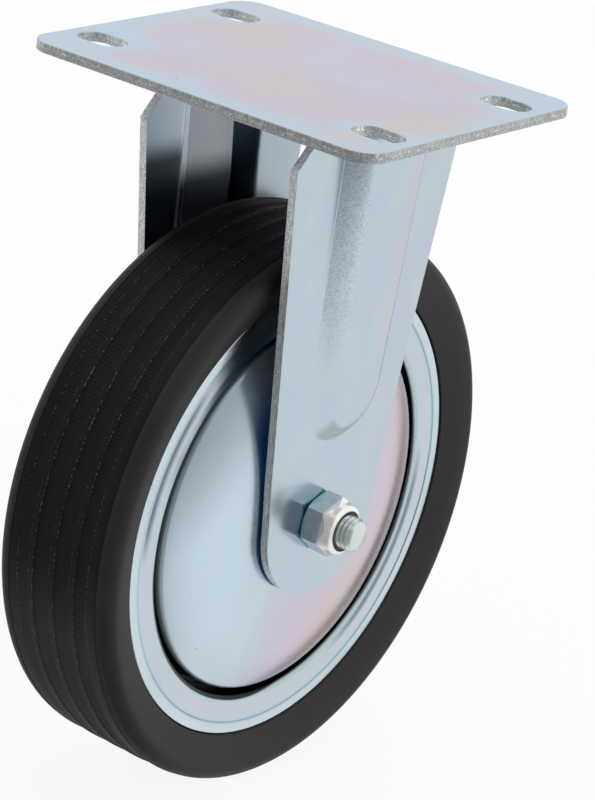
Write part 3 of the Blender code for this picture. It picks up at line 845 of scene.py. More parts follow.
class Value:
    """What a node gives. Arithmetic with it adds math nodes to its net."""

    def __init__(self, net, socket):
        self.net = net
        self.socket = socket

    def __add__(self, other):
        return self.net.math("ADD", self, other)

    def __sub__(self, other):
        return self.net.math("SUBTRACT", self, other)

    def __rsub__(self, other):
        return self.net.math("SUBTRACT", other, self)

    def __mul__(self, other):
        return self.net.math("MULTIPLY", self, other)

    def __truediv__(self, other):
        return self.net.math("DIVIDE", self, other)

    def __abs__(self):
        return self.net.math("ABSOLUTE", self)

    def larger(self, other):
        return self.net.math("MAXIMUM", self, other)

    def smaller(self, other):
        return self.net.math("MINIMUM", self, other)

    def soft_step(self, low, high):
        """From 0 at low to 1 at high, softly."""
        inputs = {"Value": self, "From Min": low, "From Max": high}
        return self.net.give("MapRange", inputs, interpolation_type="SMOOTHSTEP")

    def band(self, start, full, still_full, end):
        """From 0 at start to 1 at full, and from 1 at still_full to 0 at end."""
        return self.soft_step(start, full) * self.soft_step(end, still_full)

    def line(self, middle, near, far):
        """1 within near of the middle, and 0 beyond far."""
        return 1 - abs(self - middle).soft_step(near, far)

    def span(self, at_zero, at_one):
        """From at_zero to at_one as the value goes from 0 to 1."""
        return self.net.give("MapRange", {"Value": self, "To Min": at_zero, "To Max": at_one})

    def colours(self, *stops):
        """A colour ramp through (position, colour) stops."""
        node = self.net.add("ValToRGB", {"Fac": self})
        band = node.color_ramp
        while len(band.elements) < len(stops):
            band.elements.new(0.5)
        for element, (position, colour) in zip(band.elements, stops):
            element.position = position
            element.color = (*colour, 1)
        return Value(self.net, node.outputs["Color"])

    def tint(self, mask, share, other):
        """The colour, turned to the other by a share of the mask."""
        return self.net.mix(mask * share, self, other)


class Net:
    """The nodes of one tree. A value given to a socket is linked or set."""

    def __init__(self, tree):
        self.tree = tree

    def put(self, socket, value):
        if isinstance(value, Value):
            self.tree.links.new(value.socket, socket)
        else:
            socket.default_value = value

    def add(self, kind, inputs, **settings):
        node = self.tree.nodes.new("ShaderNode" + kind)
        for name, value in settings.items():
            setattr(node, name, value)
        for name, value in inputs.items():
            self.put(node.inputs[name], value)
        return node

    def give(self, kind, inputs, output=0, **settings):
        """One value of a new node."""
        return Value(self, self.add(kind, inputs, **settings).outputs[output])

    def named(self, node):
        """All that the node gives, by name."""
        return {output.name: Value(self, output) for output in node.outputs}

    def use(self, group, inputs):
        return self.named(self.add("Group", inputs, node_tree=group))

    def math(self, operation, first, second=0.0, clamp=False):
        return self.give("Math", {0: first, 1: second}, operation=operation, use_clamp=clamp)

    def slope(self, first, second):
        """The length of a slope from its two sides."""
        return self.math("SQRT", first * first + second * second)

    def mix(self, factor, first, second, blend="MIX"):
        first, second = [(*c, 1) if isinstance(c, tuple) else c for c in (first, second)]
        return self.give("Mix", {0: factor, 6: first, 7: second}, 2, data_type="RGBA", blend_type=blend)

    def noise(self, place, scale, detail=2.0, roughness=0.5, distortion=0.0):
        inputs = {"Vector": place, "Scale": scale, "Detail": detail}
        inputs |= {"Roughness": roughness, "Distortion": distortion}
        return self.give("TexNoise", inputs, "Fac")

    def drawn_out(self, place, per_metre, detail, roughness, distortion=0.0):
        """A noise with its own count of waves per metre along each axis."""
        stretched = self.give("Mapping", {"Vector": place, "Scale": per_metre})
        return self.noise(stretched, 1.0, detail, roughness, distortion)

    def specks(self, place, scale, channel, rarity, core, rim):
        """Round specks in the few cells that the rarity leaves."""
        cells = self.named(self.add("TexVoronoi", {"Vector": place, "Scale": scale}))
        pick = self.give("SeparateColor", {"Color": cells["Color"]}, channel)
        return self.math("GREATER_THAN", pick, rarity) * (1 - cells["Distance"].soft_step(core, rim))

    def centred(self, place, centre):
        return self.give("Mapping", {"Vector": place, "Location": centre})

    def parts(self, place):
        return self.named(self.add("SeparateXYZ", {"Vector": place})).values()

    def painted(self, name):
        """A value that the piece's own points carry."""
        return self.give("Attribute", {}, "Fac", attribute_name=name)

    def bump(self, height, strength, distance, under=None):
        inputs = {"Height": height, "Strength": strength, "Distance": distance}
        if under:
            inputs["Normal"] = under
        return self.give("Bump", inputs)

    def coat(self, sockets, colour, roughness, normal):
        for name, value in (("Base Color", colour), ("Roughness", roughness), ("Normal", normal)):
            self.put(sockets[name], value)


def new_group(name, inputs, outputs):
    """A node group with named sockets, and the net, entry and exit inside it."""
    group = bpy.data.node_groups.new(name, "ShaderNodeTree")
    for label, kind, value in inputs:
        socket = group.interface.new_socket(name=label, in_out="INPUT", socket_type="NodeSocket" + kind)
        if value is not None:
            socket.default_value = value
    for label in outputs:
        group.interface.new_socket(name=label, in_out="OUTPUT", socket_type="NodeSocketFloat")
    net = Net(group)
    entry = net.named(group.nodes.new("NodeGroupInput"))
    leave = group.nodes.new("NodeGroupOutput").inputs
    return group, net, entry, leave


def film_drift_group():
    """How the plating's thin film drifts over a surface, from 0 to 1."""
    inputs = [("Place", "Vector", None), ("Size", "Float", 0.05), ("Contrast", "Float", 1.0)]
    group, net, entry, leave = new_group("film drift", inputs, ["Drift"])
    wide_share = 0.85
    finer = 3.1
    gain = 2.2
    scale = net.math("DIVIDE", 1.0, entry["Size"])
    wide = net.noise(entry["Place"], scale, 1.0, 0.4)
    fine = net.noise(entry["Place"], scale * finer, 1.0, 0.5)
    swing = (wide * wide_share + fine * (1 - wide_share) - 0.5) * entry["Contrast"] * gain
    net.put(leave["Drift"], net.math("ADD", swing, 0.5, clamp=True))
    return group


def dark_front_group():
    """How bright the studio is in a direction: white, but dark behind and beside the camera."""
    group, net, entry, leave = new_group("dark front", [("Direction", "Vector", None)], ["Light"])
    level = net.give("VectorMath", {0: entry["Direction"]}, operation="NORMALIZE")
    facing = net.give("VectorMath", {0: level, 1: DARK_SIDE}, "Value", operation="DOT_PRODUCT")
    dark = facing.soft_step(DARK_SIDE_START, DARK_SIDE_FULL)
    net.put(leave["Light"], dark.span(1.0, DARK_SIDE_LIGHT))
    return group


def handling_marks_group():
    """Fine rolling lines, short scratches and pin-head specks of a handled plated sheet."""
    inputs = [("Place", "Vector", None), ("Amount", "Float", 1.0)]
    group, net, entry, leave = new_group("handling marks", inputs, ["Marks", "Lines"])
    place = entry["Place"]
    rolling_lines = (60, 2600, 900)
    scratch_lines = (700, 90, 240)
    scratch_width = 0.008
    net.put(leave["Lines"], net.drawn_out(place, rolling_lines, 2.0, 0.6))
    specks = net.specks(place, scale=140.0, channel="Red", rarity=0.94, core=0.03, rim=0.09)
    hair = net.drawn_out(place, scratch_lines, 1.0, 0.5, 0.4).line(0.5, 0.0, scratch_width)
    patch = net.noise(place, 34.0, 1.0).soft_step(0.60, 0.72)
    total = specks.larger(hair * patch * 0.5)
    net.put(leave["Marks"], net.math("MULTIPLY", total, entry["Amount"], clamp=True))
    return group


def sheared_edge_group():
    """Through a sheared edge: how broken it is, its drawn streaks, its grain and a line of specks."""
    inputs = [("Place", "Vector", None), ("Through", "Float", 0.0)]
    outputs = ["Broken", "Streaks", "Grain", "Specks"]
    group, net, entry, leave = new_group("sheared edge", inputs, outputs)
    place = entry["Place"]
    wander_width = 0.35
    broken_from, broken_fully = 0.42, 0.50
    speck_line, speck_near, speck_far = 0.46, 0.03, 0.10
    wander = (net.drawn_out(place, (350, 350, 90), 3.0, 0.7) - 0.5) * wander_width
    through = entry["Through"] + wander
    speck = net.noise(place, 1100.0, 1.0, 0.5).soft_step(0.58, 0.64)
    net.put(leave["Broken"], through.soft_step(broken_from, broken_fully))
    net.put(leave["Streaks"], net.drawn_out(place, (1500, 1500, 260), 3.0, 0.7))
    net.put(leave["Grain"], net.noise(place, 2100.0, 3.0, 0.7))
    net.put(leave["Specks"], through.line(speck_line, speck_near, speck_far) * speck)
    return group


def worn_rubber_group():
    """The tyre's bloom and pores as one tone, its pores, its dust, a mask low down, and painted glint
    highlights along its rib edges.
    """
    outputs = ["Tone", "Pores", "Dust", "Low", "Glints"]
    group, net, entry, leave = new_group("worn rubber", [("Place", "Vector", None)], outputs)
    place = entry["Place"]
    bloom_share = 0.7
    low_start, low_full = 0.008, -0.036
    glint_width = 0.0002
    bloom = net.noise(place, 42.0, 3.0, 0.55)
    pores = net.noise(place, 2200.0, 2.0, 0.6)
    x, _, z = net.parts(place)
    nearest = abs(abs(x) - RIB_HALF_WIDTH)
    for edge in (RIB_SPACING - RIB_HALF_WIDTH, RIB_SPACING + RIB_HALF_WIDTH, KNURL_OUTER_X):
        nearest = nearest.smaller(abs(abs(x) - edge))
    # Painted highlights: this noise breaks the glints along the rib edges into dots.
    worn = net.noise(place, 1500.0, 1.0, 0.5).soft_step(0.56, 0.62)
    net.put(leave["Tone"], bloom * bloom_share + pores * (1 - bloom_share))
    net.put(leave["Pores"], pores)
    dust = net.specks(place, scale=420.0, channel="Green", rarity=0.95, core=0.05, rim=0.16)
    net.put(leave["Dust"], dust)
    net.put(leave["Low"], z.soft_step(low_start, low_full))
    net.put(leave["Glints"], (1 - nearest.soft_step(glint_width / 4, glint_width)) * worn)
    return group


def new_material(name, metallic, roughness, specular=0.5):
    """A material with its shader's sockets, its net and the piece's own coordinates."""
    material = bpy.data.materials.new(name)
    material.use_nodes = True
    shader = material.node_tree.nodes["Principled BSDF"]
    shader.inputs["Metallic"].default_value = metallic
    shader.inputs["Roughness"].default_value = roughness
    shader.inputs["Specular IOR Level"].default_value = specular
    net = Net(material.node_tree)
    return material, shader.inputs, net, net.give("TexCoord", {}, "Object")


# Linear colours of the plating, read off the photograph
PALE_BLUE = (0.475, 0.600, 0.675)
ICE_BLUE = (0.545, 0.655, 0.715)
BRIGHT_BLUE = (0.62, 0.74, 0.82)
COOL_GREY = (0.500, 0.580, 0.640)
LILAC = (0.575, 0.560, 0.670)
PINK = (0.620, 0.525, 0.600)
SAND = (0.665, 0.580, 0.540)
PEACH = (0.640, 0.500, 0.500)
SEA_GREEN = (0.400, 0.510, 0.500)
COOL_TINT = (0.860, 0.890, 0.960)
DULL_GREY = (0.270, 0.290, 0.300)
# Painted reflection of darker surroundings, high at the front of the discs
SLATE_REFLECTION = (0.22, 0.27, 0.31)
MARK_GREY = (0.10, 0.11, 0.13)
# Painted shade down in the channel between the discs and the rims
CHANNEL_SHADE = (0.02, 0.025, 0.03)

# Linear colours of the rubber, clean and with bloom; the sidewall's are lighter as painted light, for the
# same rubber lit more strongly on its side
TREAD_BLACKS = ((0.006, 0.006, 0.007), (0.012, 0.011, 0.012))
SIDE_LIT_BLACKS = ((0.013, 0.0115, 0.013), (0.020, 0.018, 0.020))

# Height of the rolling lines, and how much rougher a handling mark is
ROLLING_LINE_HEIGHT = 0.00005
MARK_ROUGHNESS = 0.2


def handled(net, place, marks_group, colour, line_strength):
    """The marked colour of a plated sheet, the marks themselves and the bump of its rolling lines."""
    marks = net.use(marks_group, {"Place": place, "Amount": 1.0})
    lines = net.bump(marks["Lines"], line_strength, ROLLING_LINE_HEIGHT)
    return colour.tint(marks["Marks"], 0.55, MARK_GREY), marks["Marks"], lines


def finish_zinc(sockets, net, place, marks_group, colour, drift, roughness, line_strength):
    """The colour, roughness and fine lines of the plate, the discs and the rims."""
    colour, marks, lines = handled(net, place, marks_group, colour, line_strength)
    net.coat(sockets, colour, drift.span(*roughness) + marks * MARK_ROUGHNESS, lines)


def plate_zinc(drift_group, marks_group):
    """Pink and sand in the middle of the plate, pale blue along its edges and round its slots."""
    material, sockets, net, place = new_material("zinc_on_plate", 1.0, 0.25)
    drift = net.use(drift_group, {"Place": place, "Size": 0.045, "Contrast": 1.0})["Drift"]
    edge_margin = (0.001, 0.017)
    slot_margin = (0.0005, 0.011)
    margin_wander = 0.012
    wander = (drift - 0.5) * margin_wander
    x, y, _ = net.parts(place)
    far_x = abs(x)
    far_y = abs(y)
    to_edge = (PLATE_LENGTH / 2 - far_x).smaller(PLATE_WIDTH / 2 - far_y)
    inside = (to_edge + wander).soft_step(*edge_margin)
    beyond = (abs(far_x - SLOT_X) - (SLOT_LENGTH - SLOT_WIDTH) / 2).larger(0.0)
    to_slot = net.slope(beyond, far_y - SLOT_Y) - SLOT_WIDTH / 2
    clear = (to_slot + wander).soft_step(*slot_margin)
    middle = drift.colours((0.15, LILAC), (0.5, PINK), (0.95, SAND))
    colour = net.mix(inside * clear, net.mix(drift, PALE_BLUE, ICE_BLUE), middle)
    smudge = net.noise(place, 95.0, 3.0, 0.7).soft_step(0.58, 0.75)
    colour = colour.tint(smudge, 0.10, DULL_GREY)
    colour = net.mix(1.0, colour, COOL_TINT, "MULTIPLY")
    finish_zinc(sockets, net, place, marks_group, colour, drift, (0.20, 0.30), 0.06)
    return material


def fork_inside(net, place):
    """The wheel's side of the fork, duller than the outside: grey in the recess, with painted shade on the
    recess's back wall, low on the front flange and beside the tyre, and a painted deep blue reflection down
    by the disc.
    """
    _, along, up = net.parts(place)
    recess_middle, floor_half = 0.0010, (0.0125, 0.0110)
    recess_back_wall = (0.0120, 0.0126, 0.0192, 0.0222)
    flange_low, flange_front = (-0.026, -0.036), (-0.0175, -0.0205)
    tyre_low, tyre_front = (-0.037, -0.049), (0.020, 0.0125)
    disc_low = (-0.091, -0.104)
    front_blue, back_blue = (0.62, 0.73, 0.81), (0.51, 0.59, 0.66)
    floor_grey = (0.54, 0.56, 0.60)
    wall_shade_blue = (0.20, 0.28, 0.36)
    flange_shade, tyre_shade = (0.020, 0.025, 0.030), (0.020, 0.028, 0.040)
    disc_reflection_blue = (0.17, 0.55, 1.0)
    on_floor = abs(along - recess_middle).soft_step(*floor_half)
    flange = net.mix(along.soft_step(0.0, 0.012), front_blue, back_blue)
    colour = net.mix(on_floor, flange, floor_grey)
    # Painted shade: the inner front flange goes nearly black below the top of the leg.
    low_flange_shade = up.soft_step(*flange_low) * along.soft_step(*flange_front)
    colour = colour.tint(low_flange_shade, 0.9, flange_shade)
    # Painted shade: the recess's back wall, which faces away, turns nearly all the way to a dark slate
    # blue.
    back_wall = along.band(*recess_back_wall)
    colour = colour.tint(back_wall, 0.97, wall_shade_blue)
    # Painted shade: ahead of the recess's back wall the inner face goes nearly black beside the tyre;
    # lower, by the disc, the shade turns to a painted deep blue reflection.
    beside_tyre_shade = along.soft_step(*tyre_front) * up.soft_step(*tyre_low)
    by_disc = up.soft_step(*disc_low)
    deep = net.mix(by_disc, tyre_shade, disc_reflection_blue)
    dulled = on_floor.span(0.45, 0.70).larger(by_disc) * (1 - back_wall)
    return colour.tint(beside_tyre_shade, 0.99, deep), dulled


def fork_zinc(drift_group, marks_group):
    """Pale blue legs with a lilac cast, a dull stretched wall along the front of the pressing, and painted
    shade along the pressing's crest and at its low end.
    """
    material, sockets, net, place = new_material("zinc_on_fork", 1.0, 0.25)
    drift = net.use(drift_group, {"Place": place, "Size": 0.06, "Contrast": 0.9})["Drift"]
    stretched_tones = ((0.34, (0.35, 0.44, 0.49)), (0.46, (0.51, 0.62, 0.68)), (0.7, (0.64, 0.77, 0.84)))
    patch_tones = ((0.34, (0.50, 0.57, 0.70)), (0.5, (0.50, 0.60, 0.65)), (0.66, (0.56, 0.64, 0.63)))
    crest_shade_grey = (0.22, 0.20, 0.27)
    end_shade_grey = (0.26, 0.27, 0.34)
    wall = net.painted("pressed_wall")
    peel = net.drawn_out(place, (900, 900, 2300), 3.0, 0.65)
    mottle = net.drawn_out(place, (60, 60, 38), 3.0, 0.55)
    base = drift.colours((0.0, PALE_BLUE), (0.6, COOL_GREY), (1.0, LILAC))
    base = net.mix(0.45, base, mottle.colours(*patch_tones))
    colour = base.tint(net.painted("pressed_tint"), 0.5, PINK)
    colour = net.mix(wall, colour, peel.colours(*stretched_tones))
    # Painted shade: a dark line along the pressing's crest and a dark crescent at its low end.
    colour = colour.tint(net.painted("pressed_line"), 0.75, crest_shade_grey)
    colour = colour.tint(net.painted("pressed_end"), 0.6, end_shade_grey)
    wheel_side = net.painted("through_sheet")
    inside_colour, inside_dulled = fork_inside(net, place)
    colour = net.mix(wheel_side, colour, inside_colour)
    colour, _, lines = handled(net, place, marks_group, colour, 0.05)
    dulled = wall.larger(wheel_side * inside_dulled)
    net.put(sockets["Metallic"], dulled.span(1.0, 0.35))
    rough = dulled.span(drift.span(0.17, 0.26), 0.5)
    net.coat(sockets, colour, rough, net.bump((peel - 0.5) * wall, 0.25, 0.00025, lines))
    return material


def disc_zinc(drift_group, marks_group):
    """Pale blue wheel discs that warm to lilac and peach on one side."""
    material, sockets, net, place = new_material("zinc_on_disc", 1.0, 0.25)
    place = net.centred(place, -AXLE)
    drift = net.use(drift_group, {"Place": place, "Size": 0.07, "Contrast": 0.8})["Drift"]
    warm_films = ((0.0, PALE_BLUE), (0.30, ICE_BLUE), (0.58, LILAC), (0.85, PINK), (1.0, PEACH))
    warm_side, front_side, upper_front = (-0.035, 0.062), (-0.015, -0.045), (0.052, 0.096)
    outer_edge, lower_back = (0.0630, 0.0665), (0.0, 0.03)
    edge_highlight = (0.72, 0.76, 1.0)
    edge_turn = (DISC_RADIUS - 0.001, DISC_RADIUS - 0.0002)
    channel_wall = (0.0096, 0.0112)
    duller_outward = (0.045, 0.064)
    x, along, up = net.parts(place)
    radius = net.slope(along, up)
    toward = along * 0.80 - up * 0.60 + (drift - 0.5) * 0.05
    colour = toward.soft_step(*warm_side).colours(*warm_films)
    smear = net.drawn_out(place, (40, 160, 25), 4.0, 0.65).soft_step(0.42, 0.68)
    colour = colour.tint(smear, 0.30, COOL_GREY)
    blotch = net.noise(place, 38.0, 2.0, 0.5).soft_step(0.50, 0.70)
    colour = colour.tint(blotch, 0.35, LILAC)
    colour = colour.tint(along.soft_step(*front_side), 0.6, BRIGHT_BLUE)
    # Painted reflection: the disc darkens to slate towards its top front.
    colour = colour.tint((up - along).soft_step(*upper_front), 0.75, SLATE_REFLECTION)
    # Painted highlight: a pale bright blue round the disc's outer edge at the lower back.
    low_edge = radius.soft_step(*outer_edge) * toward.soft_step(*lower_back)
    colour = colour.tint(low_edge, 0.6, edge_highlight)
    # Painted shade: where the edge turns into the channel the disc goes nearly black.
    turned_in = (DISC_REACH - abs(x)).soft_step(*channel_wall) * radius.soft_step(*edge_turn)
    colour = net.mix(turned_in, colour, CHANNEL_SHADE)
    net.put(sockets["Metallic"], radius.soft_step(*duller_outward).span(1.0, 0.6))
    finish_zinc(sockets, net, place, marks_group, colour, drift, (0.18, 0.27), 0.04)
    return material


def on_spoke(along, up, radius, degrees):
    """1 on the wheel's spoke at that angle above the front, falling with the angle away from it."""
    angle = math.radians(degrees)
    return (along * -math.cos(angle) + up * math.sin(angle)) / radius


def rim_zinc(drift_group, marks_group):
    """Pale blue rims with a lilac ring inside the step and a sea green roll at the lip, darkened there by
    painted shade; painted shade and reflections in the channel, before the step, beside the lip and along
    the step's crease.
    """
    material, sockets, net, place = new_material("zinc_on_rim", 1.0, 0.25)
    place = net.centred(place, -AXLE)
    drift = net.use(drift_group, {"Place": place, "Size": 0.03, "Contrast": 0.9})["Drift"]
    # The darker sea green towards the barrel is film colour and painted shade on the lip's roll.
    ring_films = (
        (0.05, SEA_GREEN),
        (0.16, (0.52, 0.63, 0.66)),
        (0.32, (0.58, 0.60, 0.67)),
        (0.55, (0.57, 0.62, 0.70)),
        (0.72, PALE_BLUE),
        (0.76, (0.60, 0.70, 0.76)),
        (1.0, (0.64, 0.73, 0.78)),
    )
    channel_edge, channel_blend = (0.0700, 0.0713), (-0.0004, 0.0003)
    before_step, trough = (0.0745, 0.0775, 0.0780, 0.0786), (0.0713, 0.0722, 0.0732, 0.0748)
    crease_middle, crease_width = RIM_STEP_RADIUS + HAIR, (0.0001, 0.0004)
    step_reflection_grey, trough_reflection_blue, crease_shade_grey = (0.08, 0.10, 0.12), (0.10, 0.14, 0.22), (0.12, 0.15, 0.18)
    _, along, up = net.parts(place)
    radius = net.slope(along, up)
    share = net.give("MapRange", {"Value": radius, "From Min": BARREL_RADIUS, "From Max": RIM_RADIUS})
    colour = share.colours(*ring_films).tint(drift, 0.35, PALE_BLUE)
    # Painted shade: the rim goes dark into the channel, reaching furthest out low at the front.
    low_front = on_spoke(along, up, radius, -40).soft_step(0.55, 0.85)
    in_channel = (low_front.span(*channel_edge) - radius).soft_step(*channel_blend)
    colour = net.mix(in_channel, colour, CHANNEL_SHADE)
    # Painted reflection of something dark: a dark band just inside the step, high at the front.
    up_front = on_spoke(along, up, radius, 24).soft_step(0.90, 0.98)
    colour = colour.tint(up_front * radius.band(*before_step), 0.8, step_reflection_grey)
    # Painted reflection: a dark navy band beside the lip, low at the back.
    low_back = on_spoke(along, up, radius, -150).soft_step(0.80, 0.97)
    colour = colour.tint(low_back * radius.band(*trough), 0.75, trough_reflection_blue)
    # Painted shade along the crease of the rim's step.
    colour = colour.tint(radius.line(crease_middle, *crease_width), 0.45, crease_shade_grey)
    finish_zinc(sockets, net, place, marks_group, colour, drift, (0.20, 0.30), 0.05)
    return material


def sheared_steel(name, edge_group, lightness):
    """The sheet's cut edges: a drawn, shiny upper band, broken grains and a line of bright specks."""
    material, sockets, net, place = new_material(name, 0.55, 0.32)
    drawn_tones = ((0.30, (0.20, 0.22, 0.21)), (0.55, (0.40, 0.43, 0.42)), (0.75, (0.62, 0.65, 0.64)))
    grain_tones = ((0.30, (0.16, 0.17, 0.19)), (0.5, (0.36, 0.38, 0.40)), (0.68, (0.66, 0.68, 0.70)))
    bright_speck = (0.9, 0.95, 0.92)
    through = net.painted("through_sheet")
    edge = net.use(edge_group, {"Place": place, "Through": through})
    broken, streaks, grain = edge["Broken"], edge["Streaks"], edge["Grain"]
    colour = net.mix(broken, streaks.colours(*drawn_tones), grain.colours(*grain_tones))
    colour = colour.tint(edge["Specks"], 0.7, bright_speck)
    colour = net.mix(1.0, colour, (lightness, lightness, lightness), "MULTIPLY")
    tone = net.mix(broken, streaks, grain)
    net.coat(sockets, colour, broken.span(0.22, 0.42), net.bump(tone, 0.4, 0.00012))
    return material


def bright_zinc(marks_group):
    """The nut's and bolt's plating: greyer on the wrench flats, near white on the turned cone, where turned
    metal is brightened into a painted highlight, and a painted cyan highlight round the nut's bottom
    chamfer.
    """
    material, sockets, net, place = new_material("bright_plating", 0.6, 0.2)
    flat_tones = ((0.3, (0.40, 0.51, 0.57)), (0.55, (0.52, 0.61, 0.66)), (0.75, (0.60, 0.60, 0.68)))
    turned_highlight_tones = ((0.3, (0.88, 0.87, 0.86)), (0.7, (0.96, 0.96, 0.94)))
    seat_band = [NUT_START_X + offset for offset in (-0.0004, -0.0001, 0.0007, 0.0011)]
    seat_highlight_cyan = (0.24, 0.52, 0.56)
    thread_blend = 0.0002
    thread_grey = (0.66, 0.73, 0.72)
    cone_blend = 0.0012
    mark_grey = (0.12, 0.12, 0.12)
    patches = net.noise(place, 260.0, 2.0, 0.5)
    x, _, _ = net.parts(place)
    # The cone is turned metal, made near white as a painted highlight.
    on_cone = x.soft_step(NUT_CONE_START_X, NUT_CONE_START_X + cone_blend)
    colour = net.mix(on_cone, patches.colours(*flat_tones), patches.colours(*turned_highlight_tones))
    # Painted highlight: a cyan band round the nut's bottom chamfer.
    colour = net.mix(x.band(*seat_band), colour, seat_highlight_cyan)
    on_bolt = x.soft_step(NUT_END_X - thread_blend, NUT_END_X + thread_blend)
    colour = net.mix(on_bolt, colour, thread_grey)
    marks = net.use(marks_group, {"Place": place, "Amount": 1.0})
    colour = colour.tint(marks["Marks"], 0.5, mark_grey)
    ripple = net.bump(net.noise(place, 900.0, 2.0, 0.5), 0.12, 0.00006)
    net.coat(sockets, colour, patches.span(0.14, 0.28), ripple)
    return material


def bearing_steel():
    """Ground bearing steel with a trace of grease."""
    material, sockets, net, place = new_material("ground_steel", 1.0, 0.25)
    grind = net.drawn_out(place, (3000, 260, 260), 2.0, 0.6)
    grease = net.noise(place, 120.0, 2.0).soft_step(0.5, 0.7)
    colour = grind.colours((0.3, (0.40, 0.40, 0.41)), (0.7, (0.58, 0.58, 0.57)))
    colour = colour.tint(grease, 0.4, (0.20, 0.16, 0.08))
    net.coat(sockets, colour, grind.span(0.18, 0.32), net.bump(grind, 0.1, 0.00004))
    return material


def black_nylon():
    """Moulded nylon with a fine mottle, for the nut's insert, the end washers and the cage."""
    material, sockets, net, place = new_material("moulded_nylon", 0.0, 0.45)
    mottle = net.noise(place, 700.0, 3.0, 0.6)
    colour = net.mix(mottle, (0.006, 0.006, 0.007), (0.016, 0.016, 0.017))
    net.coat(sockets, colour, mottle.span(0.36, 0.55), net.bump(mottle, 0.15, 0.0001))
    return material


def rubber(name, rubber_group, blacks, roughness, specular, low_dust_and_light):
    """Solid rubber, with a faint bloom, fine pores, a little dust, a lighter tone low down from dust and
    painted floor bounce light, and painted glint highlights along its ribs.
    """
    material, sockets, net, place = new_material(name, 0.0, 0.6, specular)
    dust_grey = (0.10, 0.10, 0.10)
    bounce_and_dust_grey = (0.100, 0.090, 0.100)
    glint_highlight_grey = (0.16, 0.16, 0.16)
    worn = net.use(rubber_group, {"Place": net.centred(place, -AXLE)})
    colour = net.mix(worn["Tone"].soft_step(0.3, 0.7), *blacks)
    colour = colour.tint(worn["Dust"], 0.3, dust_grey)
    # Low down the tread lightens: dust, and painted light bounced up from the floor.
    colour = colour.tint(worn["Low"], low_dust_and_light, bounce_and_dust_grey)
    # Painted highlights: glints along the rib edges.
    colour = colour.tint(worn["Glints"], 0.8, glint_highlight_grey)
    net.coat(sockets, colour, worn["Tone"].span(*roughness), net.bump(worn["Pores"], 0.18, 0.0001))
    return material


def floor_material(dark_front):
    """A pale floor that is white to the camera but keeps the castor's shadow."""
    material = bpy.data.materials.new("pale_floor")
    material.use_nodes = True
    nodes = material.node_tree.nodes
    nodes.remove(nodes["Principled BSDF"])
    net = Net(material.node_tree)
    place = net.give("TexCoord", {}, "Object")
    light, seen = studio_light(net, dark_front, net.centred(place, -AXLE))
    tone = net.noise(place, 3.0, 2.0).span(0.86, 0.88) * light
    grey = net.give("CombineColor", {"Red": tone, "Green": tone, "Blue": tone})
    matt = net.give("BsdfDiffuse", {"Color": grey})
    glow = net.give("Emission", {"Color": (1, 1, 1, 1), "Strength": light})
    mixed = net.give("MixShader", {0: seen * FLOOR_WHITE, 1: matt, 2: glow})
    net.put(nodes["Material Output"].inputs["Surface"], mixed)
    return material


# Studio

FLOOR_WHITE = 0.90
FLOOR_HALF_WIDTH = 6.0
WORLD_LIGHT = 0.50
DARK_SIDE = (0.32, -0.947, 0.0)
DARK_SIDE_START = 0.30
DARK_SIDE_FULL = 0.72
DARK_SIDE_LIGHT = 0.27


def studio_light(net, dark_front, direction):
    """White to the camera, and white to a reflection except at the studio's dark side."""
    path = net.named(net.add("LightPath", {}))
    glossy = path["Is Glossy Ray"]
    reflected = net.use(dark_front, {"Direction": direction})["Light"]
    seen = path["Is Camera Ray"].larger(glossy).larger(path["Is Transmission Ray"])
    return glossy.span(1.0, reflected), seen


def set_view():
    view = bpy.context.scene.view_settings
    view.view_transform = "Standard"


def make_floor(dark_front):
    bm = bmesh.new()
    bmesh.ops.create_grid(bm, x_segments=8, y_segments=8, size=FLOOR_HALF_WIDTH)
    bmesh.ops.translate(bm, verts=bm.verts, vec=(0, 0, -OVERALL_HEIGHT))
    floor = add_piece("floor", bm, [floor_material(dark_front)])


def make_world(dark_front):
    """White where the camera sees it, a studio with a dark side in reflections, soft light otherwise."""
    world = bpy.data.worlds.new("studio")
    bpy.context.scene.world = world
    world.use_nodes = True
    net = Net(world.node_tree)
    strength, seen = studio_light(net, dark_front, net.give("TexCoord", {}, "Generated"))
    light = net.give("Background", {"Color": (1, 1, 1, 1), "Strength": WORLD_LIGHT})
    white = net.give("Background", {"Color": (1, 1, 1, 1), "Strength": strength})
    mixed = net.give("MixShader", {0: seen, 1: light, 2: white})
    net.put(world.node_tree.nodes["World Output"].inputs["Surface"], mixed)


def make_lamp(name, place, size, power):
    """A square soft box aimed at the wheel, which lights matt surfaces only."""
    lamp = bpy.data.lights.new(name, "AREA")
    lamp.size = size
    lamp.energy = power
    holder = bpy.data.objects.new(name, lamp)
    holder.visible_glossy = False
    holder.location = place
    holder.rotation_euler = (AXLE - Vector(place)).to_track_quat("-Z", "Y").to_euler()
    bpy.context.scene.collection.objects.link(holder)


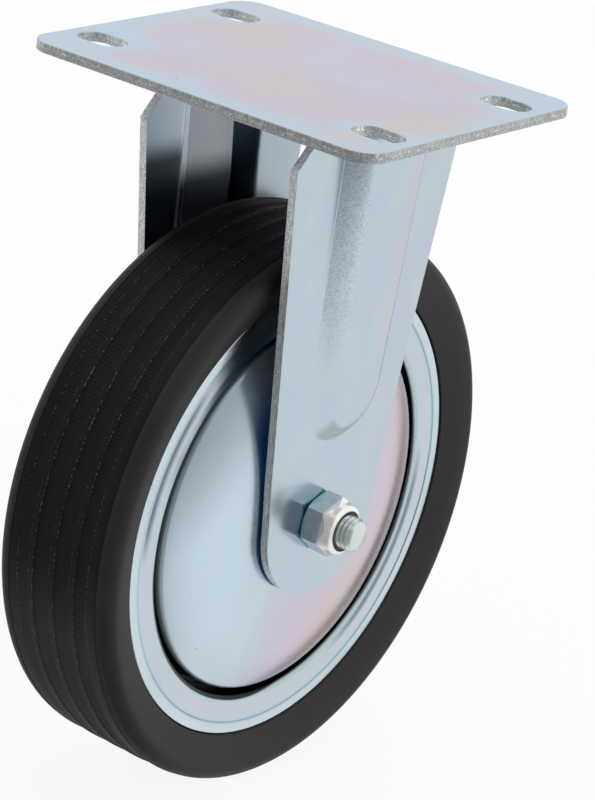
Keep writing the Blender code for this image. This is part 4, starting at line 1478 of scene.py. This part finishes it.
def make_camera():
    back = Vector((
        math.sin(CAMERA_AZIMUTH) * math.cos(CAMERA_ELEVATION),
        -math.cos(CAMERA_AZIMUTH) * math.cos(CAMERA_ELEVATION),
        math.sin(CAMERA_ELEVATION),
    ))
    camera = bpy.data.cameras.new("camera")
    camera.lens = CAMERA_LENS
    camera.sensor_width = 36
    camera.clip_start = 0.01
    holder = bpy.data.objects.new("camera", camera)
    aimed = back.to_track_quat("Z", "Y").to_matrix().to_4x4()
    turned_level = Matrix.Translation(CAMERA_AIM + back * CAMERA_DISTANCE) @ aimed
    holder.matrix_world = turned_level @ Matrix.Rotation(CAMERA_ROLL, 4, "Z")
    bpy.context.scene.collection.objects.link(holder)
    bpy.context.scene.camera = holder


def dress_hidden_nodes(steel, nylon):
    """The bearing inside the wheel keeps its solids and gets its own finishes."""
    finishes = {"bearing_sleeve": steel, "hub_tube": steel}
    finishes |= {"end_washer_left": nylon, "end_washer_right": nylon, "roller_cage": nylon}
    for name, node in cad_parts.items():
        finish = steel if name.startswith("roller_0") or name == "roller_10" else finishes.get(name)
        if finish:
            for slot in node.material_slots:
                slot.material = finish


def main():
    drift = film_drift_group()
    marks = handling_marks_group()
    edge = sheared_edge_group()
    worn = worn_rubber_group()
    bright = bright_zinc(marks)
    nylon = black_nylon()
    set_view()
    make_camera()
    plate_edge = sheared_steel("sheared_plate_edge", edge, lightness=1.1)
    slot_wall = sheared_steel("punched_slot_wall", edge, lightness=1.6)
    make_top_plate(plate_zinc(drift, marks), plate_edge, slot_wall)
    make_fork(fork_zinc(drift, marks), sheared_steel("sheared_leg_edge", edge, lightness=1.8))
    make_bolt(bright)
    make_nut(bright, nylon)
    make_rims_and_discs(rim_zinc(drift, marks), disc_zinc(drift, marks))
    tread = rubber("tread_rubber", worn, TREAD_BLACKS, (0.50, 0.70), specular=0.15, low_dust_and_light=0.28)
    side = rubber("sidewall_rubber", worn, SIDE_LIT_BLACKS, (0.55, 0.72), specular=0.4, low_dust_and_light=0.0)
    make_tyre(tread, side)
    dress_hidden_nodes(bearing_steel(), nylon)
    dark_front = dark_front_group()
    make_floor(dark_front)
    make_world(dark_front)
    make_lamp("key_light", (1.25, 0.15, 0.75), size=0.9, power=9)
    make_lamp("left_light", (-1.2, 0.3, 0.6), size=0.8, power=4)
    make_lamp("back_light", (-0.2, 1.2, 0.8), size=0.9, power=6)


main()
